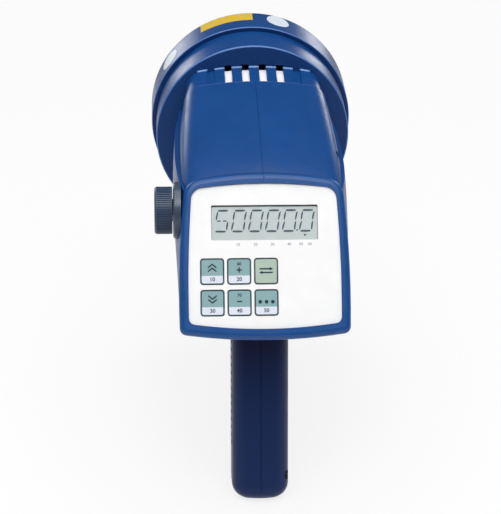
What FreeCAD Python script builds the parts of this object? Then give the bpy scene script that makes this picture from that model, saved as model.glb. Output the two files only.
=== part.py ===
import FreeCAD, Part
import math
import os
import re
import Sketcher

# Handheld xenon stroboscope, shaped like a pistol: a display panel at the back, a round lamp head in front.
# Frame: +X to the user's right, +Y towards the lamp head, +Z up. The origin is the centre of the tripod
# socket's mouth, on the flat base of the handle. Millimetres and degrees throughout.
# The parts are drawn in a working frame that lies a little further forward. At the end they are all
# moved together, so that the socket's mouth becomes the origin.

V = FreeCAD.Vector
PLANE_X = V(1, 0, 0)
PLANE_Y = V(0, 1, 0)
PLANE_Z = V(0, 0, 1)

DIMENSIONS = {
    # lamp head
    "head_height": 168.0,
    "bezel_radius": 61.1,
    "bezel_front": 168.6,
    "bezel_back": 143.6,
    "bezel_lip_radius": 54.0,
    "bezel_wall": 2.6,
    "skirt_radius": 58.3,
    "skirt_back": 119.4,
    "skirt_front": 163.0,
    "skirt_wall": 2.8,
    "head_wall": 2.5,
    "lens_radius": 57.0,
    "lens_thickness": 2.0,
    "gasket_thickness": 1.0,
    "reflector_mouth_radius": 53.0,
    "reflector_neck_radius": 15.6,
    "reflector_focal": 18.5,
    "reflector_wall": 1.2,
    "socket_radius": 13.0,
    "socket_flange_radius": 22.0,
    "socket_spigot_radius": 14.8,
    "tube_radius": 3.0,
    "tube_wall": 0.9,
    "tube_leg_spacing": 14.0,
    # control panel
    "panel_tilt": 32.5,
    "panel_y": -9.0,
    "panel_z": 171.8,
    "rim_top": 29.9,
    "rim_bottom": -61.0,
    "rim_half_width": 46.6,
    "rim_widest": -38.0,
    "rim_depth": 6.5,
    "rim_round": 3.4,
    "overlay_top": 23.8,
    "overlay_bottom": -55.0,
    "overlay_half_width": 41.4,
    "overlay_recess": 0.9,
    "overlay_thickness": 0.8,
    "floor_thickness": 2.3,
    "window_width": 57.9,
    "window_height": 19.1,
    "window_centre": 2.65,
    "key_hole_width": 12.75,
    "key_hole_height": 14.1,
    "key_hole_corner": 1.6,
    "key_width": 12.15,
    "key_height": 13.5,
    "key_corner": 1.3,
    "key_column_pitch": 14.57,
    "key_column_mid": -13.95,
    "key_row_upper": -23.8,
    "key_row_lower": -40.8,
    "key_foot_width": 13.7,
    "key_foot_height": 15.0,
    "key_cap_height": 3.5,
    "board_thickness": 1.6,
    "display_board_depth": 11.0,
    "display_board_width": 65.0,
    "display_board_height": 71.5,
    # body shell
    "wall": 2.4,
    "waist_y": 48.0,
    "waist_top": 203.0,
    "waist_bottom": 115.5,
    "waist_half_width": 48.9,
    "waist_widest": 166.0,
    "neck_top": 213.6,
    "neck_bottom": 127.0,
    "neck_half_width": 46.0,
    "neck_widest": 166.0,
    "ledge_height": 186.0,
    "ledge_width": 2.6,
    "groove_inset": 0.9,
    "side_overhang": 0.3,
    "seam_width": 0.5,
    "seam_depth": 0.5,
    "vent_width": 4.4,
    "vent_pitch": 10.2,
    "vent_length": 18.0,
    "neck_step": 0.7,
    "blind_vent_depth": 1.0,
    # handle
    "handle_rake": 18.0,
    "handle_base_y": -9.7,
    "handle_half_width": 16.5,
    "handle_half_depth": 18.0,
    "handle_corner": 10.0,
    "handle_base_round": 8.5,
    "handle_top": 134.0,
    "grip_pitch": 4.6,
    "grip_groove": 1.7,
    "grip_depth": 0.5,
    # adjusting knob
    "knob_y": 11.0,
    "knob_z": 172.5,
    "knob_radius": 13.05,
    "knob_outer_x": -59.4,
    "knob_inner_x": -49.6,
    "knob_chamfer": 0.9,
    "knob_bore_radius": 3.03,
    "shaft_radius": 3.0,
    "collar_radius": 15.6,
    "collar_outer_x": -49.2,
    "collar_inner_x": -45.0,
    "encoder_size": 12.4,
    "encoder_depth": 7.0,
    "bush_radius": 4.0,
    # trigger and lock
    "trigger_width": 13.0,
    "trigger_pivot_y": 11.5,
    "trigger_pivot_z": 112.5,
    "trigger_pin_radius": 1.5,
    "trigger_pin_play": 0.05,
    "lock_radius": 3.5,
    "lock_y": 0.0,
    "lock_z": 110.0,
    "lock_proud": 2.2,
    # sockets and fasteners
    "jack_radius": 3.0,
    "jack_bore_radius": 1.8,
    "jack_bore_depth": 14.0,
    "jack_nut_radius": 4.4,
    "tripod_bore_radius": 2.6,
    "tripod_bore_depth": 10.0,
    "tripod_bush_radius": 4.8,
    "jack_case_radius": 4.5,
    "jack_case_back": 30.0,
    "jack_case_front": 41.5,
    "jack_nut_seat": 45.2,
    "jack_mouth": 46.4,
    "charge_jack_radius": 3.6,
    "charge_jack_y": 8.6,
    "screw_radius": 1.25,
    "screw_head_radius": 2.6,
    "boss_radius": 3.4,
    "small_screw_radius": 1.0,
    "small_head_radius": 1.9,
    # power parts
    "cell_radius": 8.5,
    "cell_length": 43.0,
    "capacitor_radius": 12.5,
    "capacitor_length": 45.0,
}

# Housing screws of the body: Y and Z of each, and the X of the seat under its head.
BODY_SCREW_SEATS = {(40.0, 191.0): 40.2, (111.5, 140.0): 36.6, (-13.0, 127.5): 43.0, (84.0, 127.5): 29.0}
# Housing screws of the handle: Y and Z in the handle frame.
HANDLE_SCREWS = [(9.5, 58.0), (-11.0, 11.5)]
# Screws of the lamp housing: X and Z from the lamp's axis.
REFLECTOR_SCREWS = [(33.0, 22.0), (-33.0, 22.0), (33.0, -23.0), (-33.0, -23.0)]
# Signal sockets: Y and Z.
JACK_PLACES = [(4.0, 160.0), (4.0, 144.0)]
# Posts of the display board: X and Y in the panel frame.
BOARD_POSTS = [(-29.0, 17.5), (29.0, 17.5), (12.0, -47.0), (29.0, -47.0)]
# Screws of the bezel: angle round the lamp's axis.
BEZEL_SCREW_ANGLES = (-60.0, -120.0)
VENT_COUNT = 6
IDENTITY = FreeCAD.Placement()
NO_TURN = FreeCAD.Rotation()
FAR = 400.0

doc = FreeCAD.newDocument("xenon_stroboscope")
sheet = doc.addObject("Spreadsheet::Sheet", "dims")
for row, (alias, value) in enumerate(DIMENSIONS.items(), start=1):
    sheet.set(f"A{row}", alias)
    sheet.set(f"B{row}", str(value))
    sheet.setAlias(f"B{row}", alias)
doc.recompute()

subparts = []


def d(alias):
    """Return a driving dimension from the sheet."""
    return float(sheet.get(alias))


def keep(obj, name):
    """Give a finished sub-part its label and list it for writing."""
    obj.Label = name
    subparts.append(obj)
    return obj


def feature(name, shape):
    """Make a sub-part from a finished shape."""
    obj = doc.addObject("Part::Feature", name)
    obj.Shape = shape
    return keep(obj, name)


# Working frames. The panel frame has X across, Y up the panel and Z out towards the user. The handle
# frame has Y from back to front and Z up the raked handle.
TILT = d("panel_tilt")
PANEL = FreeCAD.Placement(V(0, d("panel_y"), d("panel_z")), FreeCAD.Rotation(PLANE_X, 90.0 - TILT))
HANDLE = FreeCAD.Placement(V(0, d("handle_base_y"), 0), FreeCAD.Rotation(PLANE_X, -d("handle_rake")))
BASE = FreeCAD.Placement(V(0, d("handle_base_y"), 0), NO_TURN)
HEAD = FreeCAD.Placement(V(0, 0, d("head_height")), NO_TURN)
KNOB = FreeCAD.Placement(V(0, d("knob_y"), d("knob_z")), NO_TURN)
UPRIGHT = FreeCAD.Rotation(PLANE_X, 90.0)


def panel_at(depth):
    """Return the panel frame moved into the body by a depth."""
    return PANEL.multiply(FreeCAD.Placement(V(0, 0, -depth), NO_TURN))


def upright_at(y, z=0.0):
    """Return a frame whose XY plane stands upright at a given Y, with local Y up."""
    return FreeCAD.Placement(V(0, y, z), UPRIGHT)


# Dimensioned outlines, and solids raised, cut and turned from them

def value_of(size):
    """Return the number behind a size given as a number or as a sheet expression."""
    if isinstance(size, str):
        names = {alias: float(sheet.get(alias)) for alias in DIMENSIONS}
        return float(parse(size, names))
    return float(size)


def parse(expression, names):
    """Work out a sum of signed terms, each a product of names and numbers."""
    total = 0.0
    for term in expression.replace("-", "+-").replace("++", "+").split("+"):
        term = term.strip()
        if not term:
            continue
        sign = -1.0 if term.startswith("-") else 1.0
        product = 1.0
        for factor in term.lstrip("-").split("*"):
            factor = factor.strip()
            product *= names[factor] if factor in names else float(factor)
        total += sign * product
    return total


def bound(size):
    """Write a size as an expression that reads the sheet."""
    text = re.sub(r"[a-z][a-z_]+", lambda word: "dims." + word.group(), size.strip())
    return "0 " + text if text.startswith("-") else "0 + " + text


def constrain(sketch, kind, place, size):
    """Add one dimension to a sketch and bind it to the sheet when it is an expression."""
    index = sketch.addConstraint(Sketcher.Constraint(kind, *place, value_of(size)))
    if isinstance(size, str):
        sketch.setExpression(f"Constraints[{index}]", bound(size))


def new_body(name, placement):
    """Start a body in its own frame."""
    body = doc.addObject("PartDesign::Body", name)
    body.Placement = placement
    return body


def new_sketch(body, role="XY_Plane", lift=0.0):
    """Attach a sketch to one of the body's own origin planes, lifted along its normal."""
    sketch = body.newObject("Sketcher::SketchObject", body.Name + "_sketch")
    plane = [item for item in body.Origin.OriginFeatures if item.Role == role][0]
    sketch.AttachmentSupport = [(plane, "")]
    sketch.MapMode = "FlatFace"
    if isinstance(lift, str) or lift:
        sketch.AttachmentOffset = FreeCAD.Placement(V(0, 0, value_of(lift)), NO_TURN)
        if isinstance(lift, str):
            sketch.setExpression("AttachmentOffset.Base.z", bound(lift))
    return sketch


def draw_outline(sketch, corners):
    """Draw a closed polygon and fix each corner by its two distances from the sketch's origin."""
    points = [V(value_of(x), value_of(y), 0) for x, y in corners]
    first = sketch.GeometryCount
    count = len(points)
    for i in range(count):
        sketch.addGeometry(Part.LineSegment(points[i], points[(i + 1) % count]), False)
    for i in range(count):
        sketch.addConstraint(Sketcher.Constraint("Coincident", first + i, 2, first + (i + 1) % count, 1))
    for i, (x, y) in enumerate(corners):
        constrain(sketch, "DistanceX", (-1, 1, first + i, 1), x)
        constrain(sketch, "DistanceY", (-1, 1, first + i, 1), y)


def draw_circle(sketch, x, y, radius):
    """Draw a circle with its centre and radius fixed."""
    circle = Part.Circle(V(value_of(x), value_of(y), 0), PLANE_Z, value_of(radius))
    index = sketch.addGeometry(circle, False)
    constrain(sketch, "Radius", (index,), radius)
    constrain(sketch, "DistanceX", (-1, 1, index, 3), x)
    constrain(sketch, "DistanceY", (-1, 1, index, 3), y)


def draw_box(sketch, x, y, width, height):
    """Draw a rectangle by its centre and its two sizes."""
    left, right = f"{x} - 0.5 * {width}", f"{x} + 0.5 * {width}"
    low, high = f"{y} - 0.5 * {height}", f"{y} + 0.5 * {height}"
    draw_outline(sketch, [(left, low), (right, low), (right, high), (left, high)])


def add_pad(body, sketch, length, backwards=False):
    """Raise a sketch into a solid."""
    pad = body.newObject("PartDesign::Pad", body.Name + "_pad")
    pad.Profile = sketch
    pad.Length = value_of(length)
    if isinstance(length, str):
        pad.setExpression("Length", bound(length))
    pad.Reversed = backwards
    body.Tip = pad
    return pad


def add_pocket(body, sketch, length):
    """Cut a sketch into the body and check that something was removed."""
    doc.recompute()
    before = body.Shape.Volume
    pocket = body.newObject("PartDesign::Pocket", body.Name + "_pocket")
    pocket.Profile = sketch
    pocket.Length = value_of(length)
    body.Tip = pocket
    doc.recompute()
    if body.Shape.Volume > before - 1e-6:
        raise RuntimeError(f"{body.Name}: a pocket cuts nothing")
    return pocket


def add_turning(body, corners, axis="V_Axis", role="XY_Plane"):
    """Turn an outline about the sketch's upright or level axis."""
    sketch = new_sketch(body, role)
    draw_outline(sketch, corners)
    turning = body.newObject("PartDesign::Revolution", body.Name + "_turning")
    turning.Profile = sketch
    turning.ReferenceAxis = (sketch, [axis])
    turning.Angle = 360
    body.Tip = turning
    return turning


def add_ring_pattern(body, feature_to_repeat, role, count):
    """Repeat a feature around one of the body's axes."""
    pattern = body.newObject("PartDesign::PolarPattern", body.Name + "_ring")
    pattern.Originals = [feature_to_repeat]
    axis = [item for item in body.Origin.OriginFeatures if item.Role == role][0]
    pattern.Axis = (axis, [""])
    pattern.Angle = 360
    pattern.Occurrences = count
    body.Tip = pattern
    return pattern


# Outlines with crowned edges and round corners

def meet(centre_a, radius_a, centre_b, radius_b, towards):
    """Return the crossing of two circles that lies nearer to a point."""
    gap = math.dist(centre_a, centre_b)
    along = (radius_a ** 2 - radius_b ** 2 + gap ** 2) / (2 * gap)
    across = math.sqrt(radius_a ** 2 - along ** 2)
    ux, uy = (centre_b[0] - centre_a[0]) / gap, (centre_b[1] - centre_a[1]) / gap
    base = (centre_a[0] + along * ux, centre_a[1] + along * uy)
    crossings = [(base[0] - across * uy * s, base[1] + across * ux * s) for s in (-1, 1)]
    return min(crossings, key=lambda point: math.dist(point, towards))


def touch(centre, radius, corner):
    """Return where a corner circle touches a crown circle from inside."""
    reach = math.dist(centre, corner)
    return (centre[0] + radius * (corner[0] - centre[0]) / reach,
            centre[1] + radius * (corner[1] - centre[1]) / reach)


class Outline:
    """A closed outline of four gently crowned edges joined by four tangent corner arcs."""

    def __init__(self, top, bottom, half_width, widest, crowns, corners):
        self.top, self.bottom, self.half_width, self.widest = top, bottom, half_width, widest
        self.top_crown, self.side_crown, self.bottom_crown = crowns
        self.top_corner, self.bottom_corner = corners

    def wire(self, placement, inset=0.0):
        """Return the outline as a wire in a frame, drawn in by an inset all round."""
        top_centre = (0.0, self.top - self.top_crown)
        low_centre = (0.0, self.bottom + self.bottom_crown)
        side_centre = (self.half_width - self.side_crown, self.widest)
        upper = meet(top_centre, self.top_crown - self.top_corner,
                     side_centre, self.side_crown - self.top_corner, (self.half_width, self.top))
        lower = meet(low_centre, self.bottom_crown - self.bottom_corner,
                     side_centre, self.side_crown - self.bottom_corner, (self.half_width, self.bottom))
        top_end = touch(top_centre, self.top_crown - inset, upper)
        side_start = touch(side_centre, self.side_crown - inset, upper)
        side_end = touch(side_centre, self.side_crown - inset, lower)
        low_start = touch(low_centre, self.bottom_crown - inset, lower)
        top_mid, low_mid = (0.0, self.top - inset), (0.0, self.bottom + inset)
        side_mid = self.on_circle(side_centre, self.side_crown - inset, side_start, side_end)
        upper_mid = self.on_circle(upper, self.top_corner - inset, top_end, side_start)
        lower_mid = self.on_circle(lower, self.bottom_corner - inset, side_end, low_start)
        right = [(top_end, upper_mid, side_start), (side_start, side_mid, side_end),
                 (side_end, lower_mid, low_start)]
        left = [(self.flip(c), self.flip(b), self.flip(a)) for a, b, c in reversed(right)]
        top_arc = (self.flip(top_end), top_mid, top_end)
        low_arc = (low_start, low_mid, self.flip(low_start))
        arcs = [top_arc] + right + [low_arc] + left
        edges = [Part.Arc(*[V(x, y, 0) for x, y in arc]).toShape() for arc in arcs]
        wire = Part.Wire(edges)
        wire.Placement = placement
        return wire

    def face(self, placement, inset=0.0):
        """Return the filled outline."""
        return Part.Face(self.wire(placement, inset))

    @staticmethod
    def flip(point):
        """Mirror a point across the middle plane."""
        return (-point[0], point[1])

    @staticmethod
    def on_circle(centre, radius, start, end):
        """Return the point of a circle halfway between two of its points."""
        mx, my = (start[0] + end[0]) / 2 - centre[0], (start[1] + end[1]) / 2 - centre[1]
        reach = math.hypot(mx, my)
        return (centre[0] + radius * mx / reach, centre[1] + radius * my / reach)


RIM = Outline(d("rim_top"), d("rim_bottom"), d("rim_half_width"), d("rim_widest"),
              (198.0, 562.0, 305.0), (11.0, 4.0))
OVERLAY = Outline(d("overlay_top"), d("overlay_bottom"), d("overlay_half_width"), -36.0,
                  (262.0, 700.0, 275.0), (6.5, 3.5))
WAIST = Outline(d("waist_top"), d("waist_bottom"), d("waist_half_width"), d("waist_widest"),
                (200.0, 160.0, 120.0), (11.0, 22.0))
NECK = Outline(d("neck_top"), d("neck_bottom"), d("neck_half_width"), d("neck_widest"),
               (190.0, 215.0, 110.0), (10.0, 24.0))
GRIP = Outline(d("handle_half_depth"), -d("handle_half_depth"), d("handle_half_width"), 0.0,
               (45.0, 150.0, 45.0), (d("handle_corner"), d("handle_corner")))


def drawn_in(outline, width):
    """Return an outline with its sides moved in and its top and bottom left as they are."""
    return Outline(outline.top, outline.bottom, outline.half_width - width, outline.widest,
                   (outline.top_crown, outline.side_crown, outline.bottom_crown),
                   (outline.top_corner, outline.bottom_corner))


def body_loft(inset, start_depth, end_y):
    """Return the main body between the panel and the neck, drawn in by an inset.

    Its sides step in at the ledge: the part above it is narrower than the part below.
    """
    lower = Part.makeLoft([RIM.wire(panel_at(start_depth), d("side_overhang") + inset),
                           WAIST.wire(upright_at(d("waist_y")), inset),
                           NECK.wire(upright_at(end_y), inset)], True, False)
    upper = Part.makeLoft([RIM.wire(panel_at(start_depth), d("groove_inset") + inset),
                           drawn_in(WAIST, d("ledge_width")).wire(upright_at(d("waist_y")), inset),
                           drawn_in(NECK, d("ledge_width")).wire(upright_at(end_y), inset)], True, False)
    step = d("ledge_height") - inset
    below = Part.makeBox(FAR, FAR, FAR, V(-FAR / 2, -FAR / 2, step - FAR))
    above = Part.makeBox(FAR, FAR, FAR, V(-FAR / 2, -FAR / 2, step))
    return lower.common(below).fuse(upper.common(above))


def handle_prism(inset, low, high):
    """Return the raked handle between two heights along its own axis."""
    section = GRIP.face(FreeCAD.Placement(V(0, 0, low), NO_TURN), inset)
    prism = section.extrude(V(0, 0, high - low))
    prism.Placement = HANDLE
    return prism


def local_box(placement, low, high):
    """Return a box between two corners of a frame."""
    size = [b - a for a, b in zip(low, high)]
    box = Part.makeBox(size[0], size[1], size[2], V(*low))
    box.Placement = placement.multiply(box.Placement)
    return box


def local_rod(placement, start, direction, radius, length):
    """Return a cylinder given in a frame."""
    rod = Part.makeCylinder(radius, length, V(*start), V(*direction))
    rod.Placement = placement.multiply(rod.Placement)
    return rod


def rounded_plate(placement, centre, width, height, corner, thickness):
    """Return a plate with round corners that rises from a frame's XY plane."""
    plate = Part.makeBox(width, height, thickness, V(centre[0] - width / 2, centre[1] - height / 2, 0))
    upright = [edge for edge in plate.Edges if abs(edge.tangentAt(edge.FirstParameter).z) > 0.9]
    plate = plate.makeFillet(corner, upright)
    plate.Placement = placement.multiply(plate.Placement)
    return plate


KEY_PLACES = {
    "key_double": (-1, "key_row_upper"),
    "key_phase_up": (0, "key_row_upper"),
    "key_alternate": (1, "key_row_upper"),
    "key_halve": (-1, "key_row_lower"),
    "key_phase_down": (0, "key_row_lower"),
    "key_preset": (1, "key_row_lower"),
}
KEY_CENTRES = {name: (d("key_column_mid") + column * d("key_column_pitch"), d(row))
               for name, (column, row) in KEY_PLACES.items()}

FLOOR_FRONT = d("overlay_recess") + d("overlay_thickness")
FLOOR_BACK = FLOOR_FRONT + d("floor_thickness")
WINDOW_CENTRE = (0.2, d("window_centre"))

# Inside the shell: ledges of the main board and the cell holder, posts, shelves and bosses.
LEDGE_WIDTH = 14.0
LEDGE_THICKNESS = 2.5
MAIN_BOARD_Z = 134.8
CELL_HOLDER_Z = 169.5
BOARD_POST_RADIUS = 2.5
SPRING_SHELF_Y = 3.2
SPRING_SHELF_THICKNESS = 1.4
LOCK_STOP_X = 3.0
PIVOT_BOSS_RADIUS = 4.0
PIVOT_BOSS_LENGTH = 8.8
TRIGGER_SLOT_HALF_WIDTH = 7.1
SHIELD_HALF_WIDTH = 22.0
SHIELD_THICKNESS = 1.0
SHIELD_BACK = 98.5
# The handle's prism starts under its base, so that the ground cuts it level.
HANDLE_START = -12.0
HANDLE_FLOOR = 3.0
GROOVES_BELOW = 9
GROOVES_ABOVE = 10


# Housing halves: one hollow shell, parted on the middle plane

def outer_solid(inset=0.0, rounded=True):
    """Return the outside of body, rim and handle as one solid, drawn in by an inset."""
    body = body_loft(inset, d("rim_depth") - 1.0, d("skirt_back"))
    rim = RIM.face(panel_at(d("rim_depth")), inset).extrude(panel_normal() * (d("rim_depth") - inset))
    if rounded:
        front = [edge for edge in rim.Edges if abs(panel_depth(edge.CenterOfMass) - inset) < 0.05]
        rim = rim.makeFillet(d("rim_round"), front)
    handle = handle_prism(inset, HANDLE_START, d("handle_top"))
    ground = Part.makeBox(FAR, FAR, FAR, V(-FAR / 2, -FAR / 2, inset))
    handle = handle.common(ground)
    if rounded:
        base = [edge for edge in handle.Edges if edge.BoundBox.ZMax < inset + 0.01]
        handle = handle.makeFillet(d("handle_base_round") - inset, base)
    return body.fuse(rim).fuse(handle)


def panel_normal():
    """Return the direction that the panel faces."""
    return PANEL.Rotation.multVec(PLANE_Z)


def panel_depth(point):
    """Return how far a point lies behind the panel's front plane."""
    return -(point - PANEL.Base).dot(panel_normal())


def inner_solid():
    """Return the hollow inside body and handle."""
    wall = d("wall")
    body = body_loft(wall, FLOOR_BACK, d("skirt_back") - d("head_wall"))
    handle = handle_prism(wall, HANDLE_START, d("handle_top") - 4.0)
    floor = Part.makeBox(FAR, FAR, FAR, V(-FAR / 2, -FAR / 2, HANDLE_FLOOR))
    handle = handle.common(floor)
    base = [edge for edge in handle.Edges if edge.BoundBox.ZMax < HANDLE_FLOOR + 0.01]
    handle = handle.makeFillet(d("handle_base_round") - wall, base)
    return body.fuse(handle)


def side_rod(radius, start_x, length, point):
    """Return a rod along X through a point given as Y and Z."""
    return Part.makeCylinder(radius, length, V(start_x, *point), PLANE_X)


def handle_point(y, z):
    """Return the Y and Z of a point given in the handle frame."""
    moved = HANDLE.multVec(V(0, y, z))
    return (moved.y, moved.z)


def vent_centres():
    """Return the X of each vent, from left to right."""
    return [(i - (VENT_COUNT - 1) / 2) * d("vent_pitch") for i in range(VENT_COUNT)]


def vent_slot(x):
    """Return the tall block that cuts one vent through the top of the neck."""
    back = d("skirt_back")
    low = back - d("vent_length") + 0.6
    return Part.makeBox(d("vent_width"), back + 1 - low, 17, V(x - d("vent_width") / 2, low, 203))


def ledge(side, start_x, start_y, length, top):
    """Return a ledge along one side wall, for a board or a holder to lie on."""
    x = start_x if side > 0 else -start_x - LEDGE_WIDTH
    return Part.makeBox(LEDGE_WIDTH, length, LEDGE_THICKNESS, V(x, start_y, top - LEDGE_THICKNESS))


def inside_pieces():
    """Return the bosses, ledges, posts and pads that stand inside the shell."""
    pieces = [side_rod(d("boss_radius"), -FAR / 8, FAR / 4, point) for point in SCREW_POINTS]
    for side in (-1, 1):
        pieces.append(ledge(side, 34.0, 30.0, 72.0, MAIN_BOARD_Z))
        pieces.append(ledge(side, 36.0, 58.0, 46.0, CELL_HOLDER_Z))
        pivot_x = side * (TRIGGER_SLOT_HALF_WIDTH + 0.1 + PIVOT_BOSS_LENGTH / 2) - PIVOT_BOSS_LENGTH / 2
        pivot = (pivot_x, d("trigger_pivot_y"), d("trigger_pivot_z"))
        pieces.append(local_rod(HANDLE, pivot, (1, 0, 0), PIVOT_BOSS_RADIUS, PIVOT_BOSS_LENGTH))
    depth = d("display_board_depth")
    for x, y in BOARD_POSTS:
        pieces.append(local_rod(PANEL, (x, y, -depth), (0, 0, 1), BOARD_POST_RADIUS, depth - FLOOR_FRONT))
    shelf_low = (-16, SPRING_SHELF_Y - SPRING_SHELF_THICKNESS, 76)
    pieces.append(local_box(HANDLE, shelf_low, (16, SPRING_SHELF_Y, 102)))
    pieces.append(local_box(HANDLE, (LOCK_STOP_X, -4, 106), (16, 4, 114)))
    pieces.append(local_rod(BASE, (0, 0, 2.5), (0, 0, 1), d("tripod_bush_radius") + 2.2, 8.5))
    pieces.append(local_rod(KNOB, (-49.0, 0, 0), (1, 0, 0), d("collar_radius") + 2.2, 7.0))
    for place in JACK_PLACES:
        pieces.append(side_rod(d("jack_nut_radius") + 2.0, d("jack_case_front"), 9.0, place))
    return pieces


def panel_cuts():
    """Return the recess for the overlay, the window's opening and the key holes."""
    cuts = [OVERLAY.face(panel_at(FLOOR_FRONT), -0.15).extrude(panel_normal() * 8)]
    under = panel_at(FLOOR_BACK + 2)
    cuts.append(rounded_plate(under, WINDOW_CENTRE, d("window_width") + 2, d("window_height") + 2, 1.0, 8))
    for centre in KEY_CENTRES.values():
        cuts.append(rounded_plate(under, centre, d("key_hole_width") + 0.1, d("key_hole_height") + 0.1,
                                  d("key_hole_corner"), 8))
    return cuts


def neck_cuts():
    """Return the neck's step, its vents, the shield's slit and the holes for the lamp housing.

    The four middle vents go through the top of the neck, the outer two stay blind.
    """
    back, step, start = d("skirt_back"), d("neck_step"), d("rim_depth") - 1.0
    neck_box = Part.makeBox(FAR, d("vent_length") + 5, FAR, V(-FAR / 2, back - d("vent_length"), 0))
    cuts = [neck_box.cut(body_loft(step, start, back))]
    blind_floor = body_loft(step + d("blind_vent_depth"), start, back)
    slots = [vent_slot(x) for x in vent_centres()]
    cuts += slots[1:-1] + [slot.cut(blind_floor) for slot in (slots[0], slots[-1])]
    cuts.append(shield_layer(SHIELD_HALF_WIDTH + 0.25, back - d("head_wall") - 1, back + 1, -0.1,
                             SHIELD_THICKNESS + 0.3))
    cuts.append(local_rod(HEAD, (0, back - 10, 0), (0, 1, 0), 26.0, 20))
    for x, z in REFLECTOR_SCREWS:
        cuts.append(local_rod(HEAD, (x, back - 10, z), (0, 1, 0), d("screw_radius") + 0.15, 20))
    return cuts


def side_cuts():
    """Return the holes in the sides: housing screws, knob and signal sockets.

    The housing screws run through the right half into the left one.
    """
    cuts = []
    for point in SCREW_POINTS:
        cuts.append(side_rod(d("screw_radius"), -12, 24, point))
        cuts.append(side_rod(d("screw_radius") + 0.15, 0, 60, point))
        cuts.append(side_rod(d("screw_head_radius") + 0.3, screw_seat(point), 40, point))
    collar_start = (d("collar_inner_x") - 20, 0, 0)
    cuts.append(local_rod(KNOB, collar_start, (1, 0, 0), d("collar_radius") + 0.3, 20))
    cuts.append(local_rod(KNOB, (-60, 0, 0), (1, 0, 0), d("bush_radius") + 0.1, 30))
    for place in JACK_PLACES:
        cuts.append(side_rod(d("jack_radius"), 35, 30, place))
        cuts.append(side_rod(d("jack_nut_radius") + 0.4, d("jack_nut_seat"), 10, place))
    return cuts


def handle_cuts():
    """Return the trigger slot and the holes of pivot, lock, tripod bush and charging socket."""
    slot = TRIGGER_SLOT_HALF_WIDTH
    pivot = (-13.0, d("trigger_pivot_y"), d("trigger_pivot_z"))
    return [local_box(HANDLE, (-slot, 5.0, 73.0), (slot, 40, 119.0)),
            local_rod(HANDLE, pivot, (1, 0, 0), d("trigger_pin_radius"), 26.0),
            local_rod(HANDLE, (-30, d("lock_y"), d("lock_z")), (1, 0, 0), d("lock_radius") + 0.06, 24),
            local_rod(BASE, (0, 0, 0), (0, 0, 1), d("tripod_bush_radius"), 12),
            local_rod(BASE, (0, d("charge_jack_y"), -5), (0, 0, 1), d("charge_jack_radius"), 20)]


def post_holes():
    """Return the screw holes of the display board's posts."""
    depth = d("display_board_depth")
    return [local_rod(PANEL, (x, y, -depth), (0, 0, 1), d("small_screw_radius"), 6) for x, y in BOARD_POSTS]


def build_housing():
    """Return the left and right halves of the housing."""
    outer = outer_solid()
    shell = outer.cut(inner_solid())
    for piece in inside_pieces():
        shell = shell.fuse(piece.common(outer))
    cuts = panel_cuts() + neck_cuts() + side_cuts() + handle_cuts() + post_holes() + grip_grooves()
    for piece in cuts:
        shell = shell.cut(piece)
    shell = shell.cut(seam_groove())
    halves = []
    for side in (-1, 1):
        half = Part.makeBox(FAR, 2 * FAR, 2 * FAR, V(0 if side > 0 else -FAR, -FAR, -FAR))
        halves.append(biggest(shell.common(half)))
    return halves


def biggest(shape):
    """Return the largest solid of a shape."""
    return max(shape.Solids, key=lambda item: item.Volume)


def shield_layer(half_width, low, high, top, depth):
    """Return a slice of the body along the inside of its top wall, between two Y values.

    The slice starts at one distance below the wall and goes down by a depth.
    """
    back = d("skirt_back")
    block = Part.makeBox(2 * half_width, high - low, 34, V(-half_width, low, 196))
    over = body_loft(d("wall") + top, FLOOR_BACK, back)
    under = body_loft(d("wall") + top + depth, FLOOR_BACK, back)
    return block.common(over).cut(under)


def screw_seat(point):
    """Return how far out the head of a housing screw sits, under the right half's surface."""
    return BODY_SCREW_SEATS.get(point, d("handle_half_width") - 2.6)


def grip_grooves():
    """Return the shallow level grooves round the front and sides of the handle."""
    reduced = handle_prism(d("grip_depth"), HANDLE_START, d("handle_top"))
    grooves = []
    for i in range(-GROOVES_BELOW, GROOVES_ABOVE):
        z = 70.6 + i * d("grip_pitch")
        front = 30.0 if i < 0 else 10.5
        slab = local_box(HANDLE, (-30, -9.0, z), (30, front, z + d("grip_groove")))
        grooves.append(slab.cut(reduced))
    return grooves


def seam_groove():
    """Return the fine groove along the parting line."""
    half = d("seam_width") / 2
    slab = Part.makeBox(2 * half, FAR, FAR, V(-half, -150, -10))
    return slab.cut(outer_solid(d("seam_depth"), rounded=False).common(slab))


SCREW_POINTS = list(BODY_SCREW_SEATS) + [handle_point(y, z) for y, z in HANDLE_SCREWS]

left_half, right_half = build_housing()
feature("left_housing", left_half)
feature("right_housing", right_half)


# Lamp head, turned about the lamp's axis. Radii are across, distances along Y.

LENS_FRONT = d("skirt_front") + d("gasket_thickness") + d("lens_thickness")
BEZEL_SCREW_SEAT = d("bezel_radius") - 1.5
BEZEL_SCREW_Y = 149.0
TUBE_BACK = 118.0
TUBE_LEG = 24.0
SOCKET_BACK = 104.0
SOCKET_FRONT = 127.2


def turned(corners):
    """Return a ring or disc turned about the lamp's axis from its half outline of radius and Y."""
    points = [V(radius, y, 0) for radius, y in corners]
    face = Part.Face(Part.makePolygon(points + points[:1]))
    solid = face.revolve(V(0, 0, 0), PLANE_Y, 360)
    solid.Placement = HEAD
    return solid


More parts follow.
